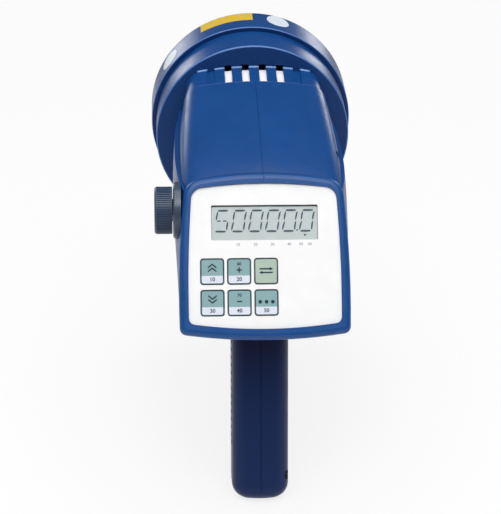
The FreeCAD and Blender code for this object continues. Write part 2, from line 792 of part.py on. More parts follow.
def build_reflector_housing():
    """Return the cup behind the lamp, with its back wall, screw bosses and vent notches."""
    back, front, radius = d("skirt_back"), d("skirt_front"), d("skirt_radius")
    inner, floor = radius - d("skirt_wall"), back + d("head_wall")
    hole = d("socket_spigot_radius") + 2.2
    cup = turned([(hole, back), (radius - 0.8, back), (radius, back + 0.8), (radius, front),
                  (inner, front), (inner, floor), (hole, floor)])
    for x, z in REFLECTOR_SCREWS:
        cup = cup.fuse(local_rod(HEAD, (x, floor - 0.5, z), (0, 1, 0), d("boss_radius"), 6.6))
    for x, z in REFLECTOR_SCREWS:
        cup = cup.cut(local_rod(HEAD, (x, back - 1, z), (0, 1, 0), d("screw_radius"), 9.0))
    for x in vent_centres():
        top = d("neck_top") - x ** 2 / (2 * NECK.top_crown) + 2.4
        corner = V(x - d("vent_width") / 2, back - 1, top - 14)
        cup = cup.cut(Part.makeBox(d("vent_width"), 6, 14, corner))
    for angle in BEZEL_SCREW_ANGLES:
        cup = cup.cut(radial_rod(angle, 50.0, 12.0, BEZEL_SCREW_Y, d("small_screw_radius")))
    return cup


def radial_rod(angle, start, length, y, radius):
    """Return a rod that points out from the lamp's axis at an angle."""
    out = V(math.cos(math.radians(angle)), 0, math.sin(math.radians(angle)))
    rod = Part.makeCylinder(radius, length, V(out.x * start, y, out.z * start), out)
    rod.Placement = HEAD.multiply(rod.Placement)
    return rod


def build_bezel():
    """Return the front ring that holds the lens."""
    front, back, radius = d("bezel_front"), d("bezel_back"), d("bezel_radius")
    lip, inner = d("bezel_lip_radius"), radius - d("bezel_wall")
    ring = turned([(lip, LENS_FRONT), (lip, front - 0.6), (lip + 0.6, front), (radius - 1.2, front),
                   (radius - 0.35, front - 0.35), (radius, front - 1.2), (radius - 0.1, back + 0.5),
                   (radius - 0.6, back), (inner, back), (inner, LENS_FRONT)])
    hole, seat = d("small_screw_radius") + 0.1, d("small_head_radius") + 0.2
    for angle in BEZEL_SCREW_ANGLES:
        ring = ring.cut(radial_rod(angle, 50.0, 14.0, BEZEL_SCREW_Y, hole))
        ring = ring.cut(radial_rod(angle, BEZEL_SCREW_SEAT, 8.0, BEZEL_SCREW_Y, seat))
    return ring


def build_reflector():
    """Return the parabolic bowl with its rim."""
    focal, wall = d("reflector_focal"), d("reflector_wall")
    mouth, neck = d("reflector_mouth_radius"), d("reflector_neck_radius")
    front = d("skirt_front")
    apex = front - 0.5 - mouth ** 2 / (4 * focal)

    def bowl(radius, shift):
        return V(radius, apex + radius ** 2 / (4 * focal) + shift, 0)

    steps = 8
    radii = [neck + (mouth - neck) * i / steps for i in range(steps + 1)]
    inside = Part.BSplineCurve()
    inside.interpolate([bowl(radius, 0) for radius in radii])
    outside = Part.BSplineCurve()
    outside.interpolate([bowl(radius, -wall * math.hypot(1, radius / (2 * focal))) for radius in radii])
    rim = [bowl(mouth, 0), V(mouth, front, 0), V(mouth + 2.3, front, 0), V(mouth + 2.3, front - 1.0, 0),
           V(mouth + 0.4, front - 1.0, 0), outside.EndPoint]
    edges = [inside.toShape()]
    edges += [Part.makeLine(a, b) for a, b in zip(rim, rim[1:])]
    edges += [outside.toShape(), Part.makeLine(outside.StartPoint, inside.StartPoint)]
    wire = Part.Wire(Part.sortEdges(edges)[0])
    shell = Part.Face(wire).revolve(V(0, 0, 0), PLANE_Y, 360)
    shell.Placement = HEAD
    return shell


def hairpin(radius):
    """Return a bent rod of two legs joined by a half ring, as the flash tube is bent."""
    half = d("tube_leg_spacing") / 2
    bend_y = TUBE_BACK + TUBE_LEG
    legs = [Part.makeCylinder(radius, TUBE_LEG, V(side * half, TUBE_BACK, 0), PLANE_Y) for side in (-1, 1)]
    bend = Part.makeTorus(half, radius, V(0, bend_y, 0), PLANE_Z, 0, 360, 360)
    bend = bend.common(Part.makeBox(60, 30, 60, V(-30, bend_y, -30)))
    rod = legs[0].fuse(legs[1]).fuse(bend)
    rod.Placement = HEAD
    return rod


feature("reflector_housing", build_reflector_housing())
feature("front_bezel", build_bezel())
feature("reflector", build_reflector())
feature("flash_tube", hairpin(d("tube_radius")).cut(hairpin(d("tube_radius") - d("tube_wall"))))

electrodes = [local_rod(HEAD, (side * d("tube_leg_spacing") / 2, TUBE_BACK, 0), (0, 1, 0), 1.1, 12.0)
              for side in (-1, 1)]
feature("lamp_electrodes", Part.makeCompound(electrodes))

gasket = new_body("lens_gasket", HEAD)
add_turning(gasket, [("bezel_lip_radius + 1.6", "skirt_front"), ("lens_radius", "skirt_front"),
                     ("lens_radius", "skirt_front + gasket_thickness"),
                     ("bezel_lip_radius + 1.6", "skirt_front + gasket_thickness")])
keep(gasket, "lens_gasket")

lens = new_body("front_lens", HEAD)
lens_back = "skirt_front + gasket_thickness"
lens_front = lens_back + " + lens_thickness"
add_turning(lens, [(0, lens_back), ("lens_radius", lens_back),
                   ("lens_radius", lens_front), (0, lens_front)])
keep(lens, "front_lens")

socket = new_body("lamp_socket", HEAD)
add_turning(socket, [(0, SOCKET_BACK), ("socket_radius", SOCKET_BACK),
                     ("socket_radius", "skirt_back - 2.2"), ("socket_flange_radius", "skirt_back - 2.2"),
                     ("socket_flange_radius", "skirt_back"), ("socket_spigot_radius", "skirt_back"),
                     ("socket_spigot_radius", SOCKET_FRONT), (0, SOCKET_FRONT)])
pin_holes = new_sketch(socket, "XZ_Plane", -TUBE_BACK)
draw_circle(pin_holes, "0.5 * tube_leg_spacing", 0, "tube_radius")
draw_circle(pin_holes, "-0.5 * tube_leg_spacing", 0, "tube_radius")
add_pocket(socket, pin_holes, 20)
keep(socket, "lamp_socket")

shield = shield_layer(SHIELD_HALF_WIDTH, SHIELD_BACK, d("skirt_back") - 0.2, 0.05, SHIELD_THICKNESS)
feature("heat_shield", biggest(shield))


# Control panel

def build_overlay():
    """Return the face sheet with its window and six key holes."""
    back = panel_at(FLOOR_FRONT)
    overlay = OVERLAY.face(back).extrude(panel_normal() * d("overlay_thickness"))
    under = panel_at(FLOOR_FRONT + 2)
    overlay = overlay.cut(rounded_plate(under, WINDOW_CENTRE, d("window_width"), d("window_height"),
                                        0.7, 6))
    for centre in KEY_CENTRES.values():
        overlay = overlay.cut(rounded_plate(under, centre, d("key_hole_width"), d("key_hole_height"),
                                            d("key_hole_corner"), 6))
    return overlay


def add_fillet(body, radius, wanted):
    """Round the edges of the body that a test picks."""
    doc.recompute()
    base = body.Tip
    names = [f"Edge{i}" for i, edge in enumerate(base.Shape.Edges, start=1) if wanted(edge)]
    rounding = body.newObject("PartDesign::Fillet", body.Name + "_round")
    rounding.Base = (base, names)
    rounding.Radius = radius
    body.Tip = rounding
    return rounding


def build_key(name, column, row):
    """Make one key: a cap that fills its hole and a wider foot behind the panel's floor."""
    key = new_body(name, PANEL)
    x = f"key_column_mid + {column} * key_column_pitch"
    shoulder = -(FLOOR_BACK + 0.25)
    cap = new_sketch(key, lift=shoulder)
    draw_box(cap, x, row, "key_width", "key_height")
    add_pad(key, cap, "key_cap_height")
    add_fillet(key, d("key_corner"), is_upright)
    foot = new_sketch(key, lift=shoulder - 1.0)
    draw_box(foot, x, row, "key_foot_width", "key_foot_height")
    add_pad(key, foot, 1.05)
    keep(key, name)


def is_upright(edge):
    """Tell whether a straight edge runs along the local Z axis."""
    direction = edge.tangentAt(edge.FirstParameter)
    return abs(direction.z) > 0.99


feature("panel_overlay", build_overlay())

window = new_body("display_window", panel_at(FLOOR_FRONT + 1.25))
pane = new_sketch(window)
draw_box(pane, "0.2", "window_centre", "59.3", "20.5")
add_pad(window, pane, 1.2)
keep(window, "display_window")

lcd = new_body("lcd_module", PANEL)
lcd_base = new_sketch(lcd, lift=-(FLOOR_BACK + 5.4))
draw_box(lcd_base, "0.2", "window_centre", "64.0", "23.0")
add_pad(lcd, lcd_base, 5.35)
lcd_glass = new_sketch(lcd, lift=-(FLOOR_BACK + 0.1))
draw_box(lcd_glass, "0.2", "window_centre", "59.2", "20.4")
add_pad(lcd, lcd_glass, 1.1)
keep(lcd, "lcd_module")

board = new_body("display_board", PANEL)
board_face = new_sketch(board, lift="-display_board_depth - board_thickness")
draw_box(board_face, "0", "-14.75", "display_board_width", "display_board_height")
add_pad(board, board_face, "board_thickness")
board_holes = new_sketch(board)
for x, y in BOARD_POSTS:
    draw_circle(board_holes, x, y, "small_screw_radius + 0.1")
add_pocket(board, board_holes, 20)
keep(board, "display_board")

for name, (column, row) in KEY_PLACES.items():
    build_key(name, column, row)

switches = []
for x, y in KEY_CENTRES.values():
    case = local_box(PANEL, (x - 3, y - 3, -d("display_board_depth")), (x + 3, y + 3, -7.0))
    switches.append(case.fuse(local_rod(PANEL, (x, y, -7.0), (0, 0, 1), 1.6, 1.25)))
feature("key_switches", Part.makeCompound(switches))


def screw(placement, start, direction, head, radius, head_height, length):
    """Return a cap screw: its head at the start, its shank along the direction."""
    way = V(*direction)
    cap = Part.makeCylinder(head, head_height, V(*start) - way * head_height, way)
    shank = Part.makeCylinder(radius, length, V(*start), way)
    driver = Part.makeCylinder(head * 0.42, head_height * 0.6, V(*start) - way * head_height, way)
    whole = cap.fuse(shank).cut(driver)
    whole.Placement = placement.multiply(whole.Placement)
    return whole


BOARD_BACK = d("display_board_depth") + d("board_thickness")
board_screws = [screw(PANEL, (x, y, -BOARD_BACK), (0, 0, 1), d("small_head_radius"),
                      d("small_screw_radius"), 1.4, 6.5) for x, y in BOARD_POSTS]
feature("board_screws", Part.makeCompound(board_screws))

housing_screws = [screw(IDENTITY, (screw_seat(point), *point), (-1, 0, 0), d("screw_head_radius"),
                        d("screw_radius"), 2.0, screw_seat(point) + 11.0) for point in SCREW_POINTS]
feature("housing_screws", Part.makeCompound(housing_screws))

head_seat = d("skirt_back") - d("head_wall")
reflector_screws = [screw(HEAD, (x, head_seat, z), (0, 1, 0), d("screw_head_radius"),
                          d("screw_radius"), 2.0, 10.0) for x, z in REFLECTOR_SCREWS]
feature("reflector_screws", Part.makeCompound(reflector_screws))

bezel_screws = []
for angle in BEZEL_SCREW_ANGLES:
    head = radial_rod(angle, BEZEL_SCREW_SEAT, 1.3, BEZEL_SCREW_Y, d("small_head_radius"))
    bezel_screws.append(head.fuse(radial_rod(angle, BEZEL_SCREW_SEAT - 4.0, 4.1, BEZEL_SCREW_Y,
                                             d("small_screw_radius"))))
feature("bezel_screws", Part.makeCompound(bezel_screws))


# Adjusting knob: encoder behind the left side, collar and nut outside it, knob on the encoder's shaft

ENCODER_FRONT_X = -42.0
NUT_CORNER_RADIUS = 6.2
KNOB_RIBS = 64

encoder = new_body("encoder_body", KNOB)
encoder_case = new_sketch(encoder, "YZ_Plane", ENCODER_FRONT_X)
draw_box(encoder_case, "0", "0", "encoder_size", "encoder_size")
add_pad(encoder, encoder_case, "encoder_depth")
encoder_bush = new_sketch(encoder, "YZ_Plane", ENCODER_FRONT_X)
draw_circle(encoder_bush, 0, 0, "bush_radius")
add_pad(encoder, encoder_bush, 8.6, backwards=True)
encoder_bore = new_sketch(encoder, "YZ_Plane", ENCODER_FRONT_X + 2.0)
draw_circle(encoder_bore, 0, 0, "shaft_radius + 0.05")
add_pocket(encoder, encoder_bore, 15)
keep(encoder, "encoder_body")

collar = new_body("knob_collar", KNOB)
add_turning(collar, [("collar_inner_x", "bush_radius + 0.1"), ("collar_outer_x", "bush_radius + 0.1"),
                     ("collar_outer_x", "collar_radius - 0.8"), ("collar_outer_x + 0.8", "collar_radius"),
                     ("collar_inner_x", "collar_radius")], "H_Axis")
keep(collar, "knob_collar")

nut = new_body("encoder_nut", KNOB)
nut_face = new_sketch(nut, "YZ_Plane", "collar_outer_x")
nut_angles = [math.radians(60 * i) for i in range(6)]
draw_outline(nut_face, [(NUT_CORNER_RADIUS * math.cos(turn), NUT_CORNER_RADIUS * math.sin(turn))
                        for turn in nut_angles])
draw_circle(nut_face, 0, 0, "bush_radius")
add_pad(nut, nut_face, 1.4, backwards=True)
keep(nut, "encoder_nut")

shaft = new_body("encoder_shaft", KNOB)
shaft_face = new_sketch(shaft, "YZ_Plane", ENCODER_FRONT_X + 1.9)
draw_circle(shaft_face, 0, 0, "shaft_radius")
add_pad(shaft, shaft_face, 17.5, backwards=True)
keep(shaft, "encoder_shaft")

knob = new_body("adjusting_knob", KNOB)
hub_x, cap_x = "knob_inner_x - 2.2", "knob_outer_x + 1.6"
add_turning(knob, [(hub_x, "knob_bore_radius"), (cap_x, "knob_bore_radius"), (cap_x, 0),
                   ("knob_outer_x", 0), ("knob_outer_x", "knob_radius - knob_chamfer"),
                   ("knob_outer_x + knob_chamfer", "knob_radius"), ("knob_inner_x - 0.3", "knob_radius"),
                   ("knob_inner_x", "knob_radius - 0.3"), ("knob_inner_x", 8), (hub_x, 8)], "H_Axis")
rib_gap = new_sketch(knob, "YZ_Plane", "knob_inner_x - 0.8")
draw_box(rib_gap, "knob_radius", "0", "0.9", "0.6")
groove = add_pocket(knob, rib_gap, 7.8)
add_ring_pattern(knob, groove, "X_Axis", KNOB_RIBS)
keep(knob, "adjusting_knob")


# Trigger, its pin, spring and switch, and the lock button, in the handle frame

trigger = new_body("trigger", HANDLE)
trigger_side = new_sketch(trigger, "YZ_Plane", "-0.5 * trigger_width")
draw_outline(trigger_side, [(8.5, 116.3), (17.2, 117.0), (25.5, 112.5), (25.5, 78.0), (21.0, 74.6),
                            (12.5, 76.0), (9.5, 98.0)])
add_pad(trigger, trigger_side, "trigger_width")
finger = new_sketch(trigger, "YZ_Plane", "0.5 * trigger_width + 1")
draw_circle(finger, 47.0, 95.5, 25.6)
add_pocket(trigger, finger, 40)
pivot_hole = new_sketch(trigger, "YZ_Plane", "0.5 * trigger_width + 1")
draw_circle(pivot_hole, "trigger_pivot_y", "trigger_pivot_z", "trigger_pin_radius + trigger_pin_play")
add_pocket(trigger, pivot_hole, 40)
add_fillet(trigger, 2.6, lambda edge: edge.CenterOfMass.y > 21.2 and abs(edge.CenterOfMass.x) > 6.0)
keep(trigger, "trigger")

pin = new_body("trigger_pin", HANDLE)
pin_end = new_sketch(pin, "YZ_Plane", -12.8)
draw_circle(pin_end, "trigger_pivot_y", "trigger_pivot_z", "trigger_pin_radius")
add_pad(pin, pin_end, 25.6)
keep(pin, "trigger_pin")

lock = new_body("lock_button", HANDLE)
lock_face = new_sketch(lock, "YZ_Plane", "-handle_half_width - lock_proud")
draw_circle(lock_face, "lock_y", "lock_z", "lock_radius")
add_pad(lock, lock_face, "handle_half_width + lock_proud - 2")
lock_flange = new_sketch(lock, "YZ_Plane", -13.6)
draw_circle(lock_flange, "lock_y", "lock_z", "lock_radius + 1.0")
add_pad(lock, lock_flange, 1.5)
add_fillet(lock, 0.8, lambda edge: edge.CenterOfMass.x < -17)
keep(lock, "lock_button")


def biarc(start, start_way, end, end_way):
    """Return two tangent arcs that join two points and leave and reach them along given directions."""
    chord, ways = end - start, start_way + end_way
    spread = 2.0 * (1.0 - start_way.dot(end_way))
    reach = (math.sqrt(chord.dot(ways) ** 2 + spread * chord.dot(chord)) - chord.dot(ways)) / spread
    corners = (start + start_way * reach, end - end_way * reach)
    joint = (corners[0] + corners[1]) * 0.5
    arcs = []
    for first, corner, last in ((start, corners[0], joint), (joint, corners[1], end)):
        middle = (first + last) * 0.5
        half, rise = (last - first).Length / 2, (corner - middle).Length
        top = middle + (corner - middle) * (half * math.tan(math.atan2(rise, half) / 2) / rise)
        arcs.append(Part.Arc(first, top, last).toShape())
    return arcs


def coil_spring(placement, radius, wire, length, turns):
    """Return a wire spring that stands along the frame's Z axis, laid out in quarter turns.

    The gap between its turns, measured on points half a turn apart or more, is printed.
    """
    rise = (length - wire) / turns / 4
    places, ways = [], []
    for i in range(4 * turns + 1):
        angle = i * math.pi / 2
        places.append(V(radius * math.cos(angle), radius * math.sin(angle), wire / 2 + i * rise))
        way = V(-radius * math.sin(angle), radius * math.cos(angle), rise * 2 / math.pi)
        ways.append(way.normalize())
    arcs = []
    for i in range(4 * turns):
        arcs += biarc(places[i], ways[i], places[i + 1], ways[i + 1])
    gap = min(a.distanceToPoint(b) for i, a in enumerate(places) for b in places[i + 2:]) - wire
    print(f"spring of {turns} turns: least gap {gap:.2f} mm")
    profile = Part.Wire(Part.Circle(places[0], ways[0], wire / 2).toShape())
    spring = Part.Wire(arcs).makePipeShell([profile], True, False)
    spring.Placement = placement.multiply(spring.Placement)
    return spring


trigger_spring_seat = HANDLE.multiply(FreeCAD.Placement(V(0, SPRING_SHELF_Y, 80.5),
                                                        FreeCAD.Rotation(PLANE_X, -90)))
feature("trigger_spring", coil_spring(trigger_spring_seat, 2.4, 0.6, 8.3, 4))
lock_spring_seat = HANDLE.multiply(FreeCAD.Placement(V(-2.0, d("lock_y"), d("lock_z")),
                                                     FreeCAD.Rotation(PLANE_Y, 90)))
feature("lock_spring", coil_spring(lock_spring_seat, 2.2, 0.45, LOCK_STOP_X + 2.0, 4))

switch_case = local_box(HANDLE, (-5, SPRING_SHELF_Y, 88), (5, 7.0, 101))
feature("power_switch", switch_case.fuse(local_rod(HANDLE, (0, 6.9, 95), (0, 1, 0), 1.0, 0.7)))


# Sockets

def build_jack(name, place):
    """Make one signal socket in the right side: a round case, a threaded neck and a blind bore."""
    jack = new_body(name, FreeCAD.Placement(V(0, *place), NO_TURN))
    add_turning(jack, [("jack_case_back", 0), ("jack_case_back", "jack_case_radius"),
                       ("jack_case_front", "jack_case_radius"), ("jack_case_front", "jack_radius"),
                       ("jack_mouth", "jack_radius"), ("jack_mouth", 0)], "H_Axis")
    mouth = new_sketch(jack, "YZ_Plane", "jack_mouth")
    draw_circle(mouth, 0, 0, "jack_bore_radius")
    add_pocket(jack, mouth, "jack_bore_depth")
    keep(jack, name)


build_jack("input_jack", JACK_PLACES[0])
build_jack("output_jack", JACK_PLACES[1])
nuts = []
for place in JACK_PLACES:
    ring = side_rod(d("jack_nut_radius"), d("jack_nut_seat"), 1.1, place)
    nuts.append(ring.cut(side_rod(d("jack_radius"), d("jack_nut_seat") - 1, 4, place)))
feature("jack_nuts", Part.makeCompound(nuts))

bush = new_body("tripod_bush", BASE)
add_turning(bush, [("tripod_bore_radius", 0), ("tripod_bush_radius", 0), ("tripod_bush_radius", 12),
                   (0, 12), (0, "tripod_bore_depth"), ("tripod_bore_radius", "tripod_bore_depth")],
            role="XZ_Plane")
keep(bush, "tripod_bush")

charge_place = BASE.multiply(FreeCAD.Placement(V(0, d("charge_jack_y"), 0), NO_TURN))
charge = new_body("charge_jack", charge_place)
add_turning(charge, [(0, 1.8), (1.0, 1.8), (1.0, 9.5), (2.75, 9.5), (2.75, 0.4),
                     ("charge_jack_radius", 0.4), ("charge_jack_radius", 12.5), (0, 12.5)],
            role="XZ_Plane")
keep(charge, "charge_jack")


# Power parts

def cell(placement, start, direction):
    """Return one battery cell with its raised contact."""
    way = V(*direction)
    can = Part.makeCylinder(d("cell_radius"), d("cell_length") - 1.0, V(*start), way)
    contact = Part.makeCylinder(2.8, 1.2, V(*start) + way * (d("cell_length") - 1.2), way)
    whole = can.fuse(contact)
    whole.Placement = placement.multiply(whole.Placement)
    return whole


HANDLE_CELL_Y = -7.0
HANDLE_CELL_Z = 16.8
BODY_CELL_PITCH = 18.6
BODY_CELL_Y = 59.8
HOLDER_THICKNESS = 2.0

cell_heights = [HANDLE_CELL_Z + i * (d("cell_length") + 0.2) for i in range(2)]
handle_cells = [cell(HANDLE, (0, HANDLE_CELL_Y, height), (0, 0, 1)) for height in cell_heights]
feature("handle_cells", Part.makeCompound(handle_cells))

holder = new_body("cell_holder", FreeCAD.Placement(V(0, 81, CELL_HOLDER_Z), NO_TURN))
holder_face = new_sketch(holder)
draw_box(holder_face, "0", "0", "80", "44")
add_pad(holder, holder_face, HOLDER_THICKNESS)
keep(holder, "cell_holder")
cell_axis_z = CELL_HOLDER_Z + HOLDER_THICKNESS + 0.1 + d("cell_radius")
body_cells = [cell(IDENTITY, (i * BODY_CELL_PITCH, BODY_CELL_Y, cell_axis_z), (0, 1, 0))
              for i in (-1, 0, 1)]
feature("body_cells", Part.makeCompound(body_cells))

main = new_body("main_board", FreeCAD.Placement(V(0, 68, MAIN_BOARD_Z), NO_TURN))
main_face = new_sketch(main)
draw_box(main_face, "0", "0", "71", "74")
add_pad(main, main_face, "board_thickness")
keep(main, "main_board")

BOARD_TOP = MAIN_BOARD_Z + d("board_thickness")


def capacitor(side):
    """Return one of the two cans that lie side by side on the main board."""
    start = V(side * 14.0, 52.0, BOARD_TOP + d("capacitor_radius"))
    can = Part.makeCylinder(d("capacitor_radius"), d("capacitor_length"), start, PLANE_Y)
    rims = [edge for edge in can.Edges if edge.Curve.TypeId == "Part::GeomCircle"]
    return can.makeFillet(0.8, rims)


feature("discharge_capacitors", Part.makeCompound([capacitor(-1), capacitor(1)]))


def charge_transformer():
    """Return a transformer: two core plates, two side limbs and the winding between them."""
    width, depth, plate, limb, height = 26.0, 17.0, 4.0, 4.0, 17.0
    left, back = -width / 2, 32.5
    pieces = [Part.makeBox(width, depth, plate, V(left, back, BOARD_TOP)),
              Part.makeBox(width, depth, plate, V(left, back, BOARD_TOP + height - plate)),
              Part.makeBox(limb, depth, height, V(left, back, BOARD_TOP)),
              Part.makeBox(limb, depth, height, V(-left - limb, back, BOARD_TOP)),
              Part.makeCylinder(7.6, height - 7.0, V(0, back + depth / 2, BOARD_TOP + 3.5), PLANE_Z)]
    return pieces[0].multiFuse(pieces[1:])


feature("charge_transformer", charge_transformer())

PULSE_X, PULSE_Y = -25.5, 40.5
pulse = Part.makeBox(13, 13, 2, V(PULSE_X - 6.5, PULSE_Y - 6.5, BOARD_TOP)).fuse(
    Part.makeCylinder(5.8, 12, V(PULSE_X, PULSE_Y, BOARD_TOP + 1.5), PLANE_Z))
feature("trigger_transformer", pulse)

LEAD_RADIUS = 1.1
LEAD_Y = 99.0


def lamp_lead(x):
    """Return one lead from the board up to the back of the lamp socket."""
    turn = V(x, LEAD_Y, d("head_height") - 10.0)
    rise = Part.makeCylinder(LEAD_RADIUS, turn.z - BOARD_TOP, V(x, LEAD_Y, BOARD_TOP), PLANE_Z)
    elbow = Part.makeSphere(LEAD_RADIUS, turn)
    run = Part.makeCylinder(LEAD_RADIUS, SOCKET_BACK - LEAD_Y, turn, PLANE_Y)
    return rise.fuse(elbow).fuse(run)


feature("lamp_leads", Part.makeCompound([lamp_lead(-5.0), lamp_lead(5.0)]))

doc.recompute()
to_origin = BASE.inverse()
for obj in subparts:
    obj.Placement = to_origin.multiply(obj.Placement)
doc.recompute()
problems = [f"{obj.Name}: {obj.State}" for obj in doc.Objects
            if "Invalid" in obj.State or "Error" in obj.State]
for obj in subparts:
    if obj.Shape.isNull() or not obj.Shape.isValid() or not obj.Shape.Solids:
        problems.append(f"{obj.Label}: shape is empty or not valid")
if problems:
    raise RuntimeError("; ".join(problems))

os.makedirs("parts", exist_ok=True)
for obj in subparts:
    obj.Shape.exportStep(f"parts/{obj.Label}.step")
print(f"{len(subparts)} sub-parts written")
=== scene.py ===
"""Looks of a handheld xenon stroboscope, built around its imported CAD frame."""

import logging
import math
from dataclasses import dataclass
from enum import Enum

import bmesh
import bpy
from mathutils import Matrix, Vector

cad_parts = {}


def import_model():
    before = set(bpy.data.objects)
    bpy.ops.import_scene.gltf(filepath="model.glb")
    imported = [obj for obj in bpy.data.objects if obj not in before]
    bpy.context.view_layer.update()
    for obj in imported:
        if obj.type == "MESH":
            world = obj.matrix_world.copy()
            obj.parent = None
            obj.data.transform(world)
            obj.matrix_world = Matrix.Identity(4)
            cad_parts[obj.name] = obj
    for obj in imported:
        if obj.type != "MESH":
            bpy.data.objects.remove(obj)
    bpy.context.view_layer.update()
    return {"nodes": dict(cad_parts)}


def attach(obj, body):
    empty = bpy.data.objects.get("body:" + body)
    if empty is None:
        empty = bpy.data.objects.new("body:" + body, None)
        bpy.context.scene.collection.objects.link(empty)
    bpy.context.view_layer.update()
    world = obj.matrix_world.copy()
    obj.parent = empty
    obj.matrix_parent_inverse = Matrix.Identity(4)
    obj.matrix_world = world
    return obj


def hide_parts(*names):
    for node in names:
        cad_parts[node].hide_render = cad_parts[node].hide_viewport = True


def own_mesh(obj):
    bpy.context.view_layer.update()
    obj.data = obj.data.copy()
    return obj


LOG = logging.getLogger("stroboscope")
MM = 0.001
# How far a print stands out of its face, and how far it reaches into it.
INK_HEIGHT = 0.03 * MM
INK_SINK = 0.01 * MM
# The font's size for numerals of height 1.
NUMERAL_RATIO = 1.4
# The CAD body that carries everything but the prints on the keys.
SHELL = "body"

Colour = tuple[float, float, float]
Place = tuple[float, float, float]
Point2 = tuple[float, float]
Loop = list[Point2]
Socket = bpy.types.NodeSocket
Thing = bpy.types.Object
Mesh = bmesh.types.BMesh


def linear(colour: Colour) -> tuple[float, float, float, float]:
    """Turn a display colour into the linear colour that a shader takes.

    Args:
        colour: red, green and blue, each from 0 to 255.

    Returns:
        The linear red, green, blue and an alpha of 1.
    """
    out = []
    for part in colour:
        share = part / 255.0
        out.append(share / 12.92 if share <= 0.04045 else ((share + 0.055) / 1.055) ** 2.4)
    return out[0], out[1], out[2], 1.0


def shade(colour: Colour, factor: float) -> Colour:
    """Return the display colour made lighter or darker by a factor."""
    return tuple(min(255.0, part * factor) for part in colour)


@dataclass(frozen=True)
class PaintedLightFade:
    """A painted change of colour and shine along one direction of the stroboscope, which stands in for
    light and shade.
    """

    along: Place
    start: float
    end: float
    colour: Colour
    specular: float


class Wiring:
    """The node tree of a material or world, with short calls that add and join nodes."""

    def __init__(self, owner: bpy.types.ID, output: str) -> None:
        """Clear the owner's node tree and add its output.

        Args:
            owner: the material or world.
            output: the kind of its output node.
        """
        owner.use_nodes = True
        self.tree = owner.node_tree
        self.tree.nodes.clear()
        self.output = self.add(output)

    def add(self, kind: str) -> bpy.types.Node:
        """Add a node of one kind."""
        return self.tree.nodes.new("ShaderNode" + kind)

    def join(self, source: Socket, target: Socket) -> None:
        """Join one socket to another."""
        self.tree.links.new(source, target)

    def give(self, value: object, target: Socket) -> None:
        """Join the value to the target where it is a socket, and otherwise set it there."""
        if isinstance(value, Socket):
            self.join(value, target)
        else:
            target.default_value = value

    def ramp(self, source: Socket, low: float, high: float, span: Point2 = (0.3, 0.7)) -> Socket:
        """Map a pattern's values to a range.

        Args:
            source: the pattern.
            low: the value where the pattern is at the span's start.
            high: the value where it is at the span's end.
            span: the pattern's values that reach low and high.

        Returns:
            The mapped socket.
        """
        node = self.add("MapRange")
        for target, value in zip(node.inputs[1:5], (*span, low, high)):
            target.default_value = value
        self.join(source, node.inputs["Value"])
        return node.outputs["Result"]

    def joined(self, operation: str, sources: list[Socket]) -> Socket:
        """Return a socket that joins several values by one operation.

        Args:
            operation: the operation.
            sources: the values.

        Returns:
            The socket.
        """
        result = sources[0]
        for source in sources[1:]:
            node = self.add("Math")
            node.operation = operation
            self.join(result, node.inputs[0])
            self.join(source, node.inputs[1])
            result = node.outputs[0]
        return result

    def surface(self, factor: Socket, first: Socket, second: Socket) -> None:
        """Show a surface that goes from the first to the second as the factor goes from 0 to 1."""
        node = self.add("MixShader")
        for source, target in zip((factor, first, second), node.inputs):
            self.join(source, target)
        self.join(node.outputs["Shader"], self.output.inputs["Surface"])


class NodeSketch(Wiring):
    """A material's node tree round its shader."""

    def __init__(self, name: str) -> None:
        """Start an empty material with a name."""
        self.material = bpy.data.materials.new(name)
        super().__init__(self.material, "OutputMaterial")
        self.shader = self.add("BsdfPrincipled")
        self.join(self.shader.outputs["BSDF"], self.output.inputs["Surface"])
        self.place = self.add("TexCoord").outputs["Object"]

    def set(self, **values: object) -> None:
        """Join patterns to the shader's own sockets, or set plain values there.

        Args:
            **values: socket names, with underscores for spaces, and what they get.
        """
        for name, value in values.items():
            self.give(value, self.shader.inputs[name.replace("_", " ")])

    def noise(self, size: float, detail: float = 2.0) -> Socket:
        """Add a noise pattern.

        Args:
            size: the width of one patch in metres.
            detail: how many finer layers lie over it.

        Returns:
            The socket with its values from 0 to 1.
        """
        node = self.add("TexNoise")
        node.inputs["Scale"].default_value = 1.0 / size
        node.inputs["Detail"].default_value = detail
        self.join(self.place, node.inputs["Vector"])
        return node.outputs["Fac"]

    def cloud(self, size: float, detail: float = 3.0) -> Socket:
        """Return a noise pattern that is stretched to reach from 0 to 1."""
        return self.ramp(self.noise(size, detail), 0.0, 1.0)

    def mix(self, factor: object, first: object, second: object) -> Socket:
        """Mix two colours by a pattern.

        Args:
            factor: a number or a pattern, 0 for the first colour and 1 for the second.
            first: a linear colour or a socket.
            second: a linear colour or a socket.

        Returns:
            The mixed colour's socket.
        """
        node = self.add("Mix")
        node.data_type = "RGBA"
        for value, index in ((factor, 0), (first, 6), (second, 7)):
            self.give(value, node.inputs[index])
        return node.outputs[2]

    def blend(self, factor: Socket, first: object, last: float) -> Socket:
        """Return a number that goes from the first to the last as the factor goes from 0 to 1."""
        node = self.add("Mix")
        for value, index in ((factor, 0), (first, 2), (last, 3)):
            self.give(value, node.inputs[index])
        return node.outputs[0]

    def along(self, fade: PaintedLightFade) -> Socket:
        """Return how far a fade has come at each place, from 0 to 1."""
        reach = self.add("VectorMath")
        reach.operation = "DOT_PRODUCT"
        self.join(self.place, reach.inputs[0])
        reach.inputs[1].default_value = fade.along
        return self.ramp(reach.outputs["Value"], 0.0, 1.0, (fade.start, fade.end))

    def bump(self, height: Socket, distance: float) -> Socket:
        """Turn a pattern into relief.

        Args:
            height: the pattern.
            distance: how high the pattern's value of 1 stands, in metres.

        Returns:
            The normal's socket.
        """
        node = self.add("Bump")
        node.inputs["Distance"].default_value = distance
        self.join(height, node.inputs["Height"])
        return node.outputs["Normal"]


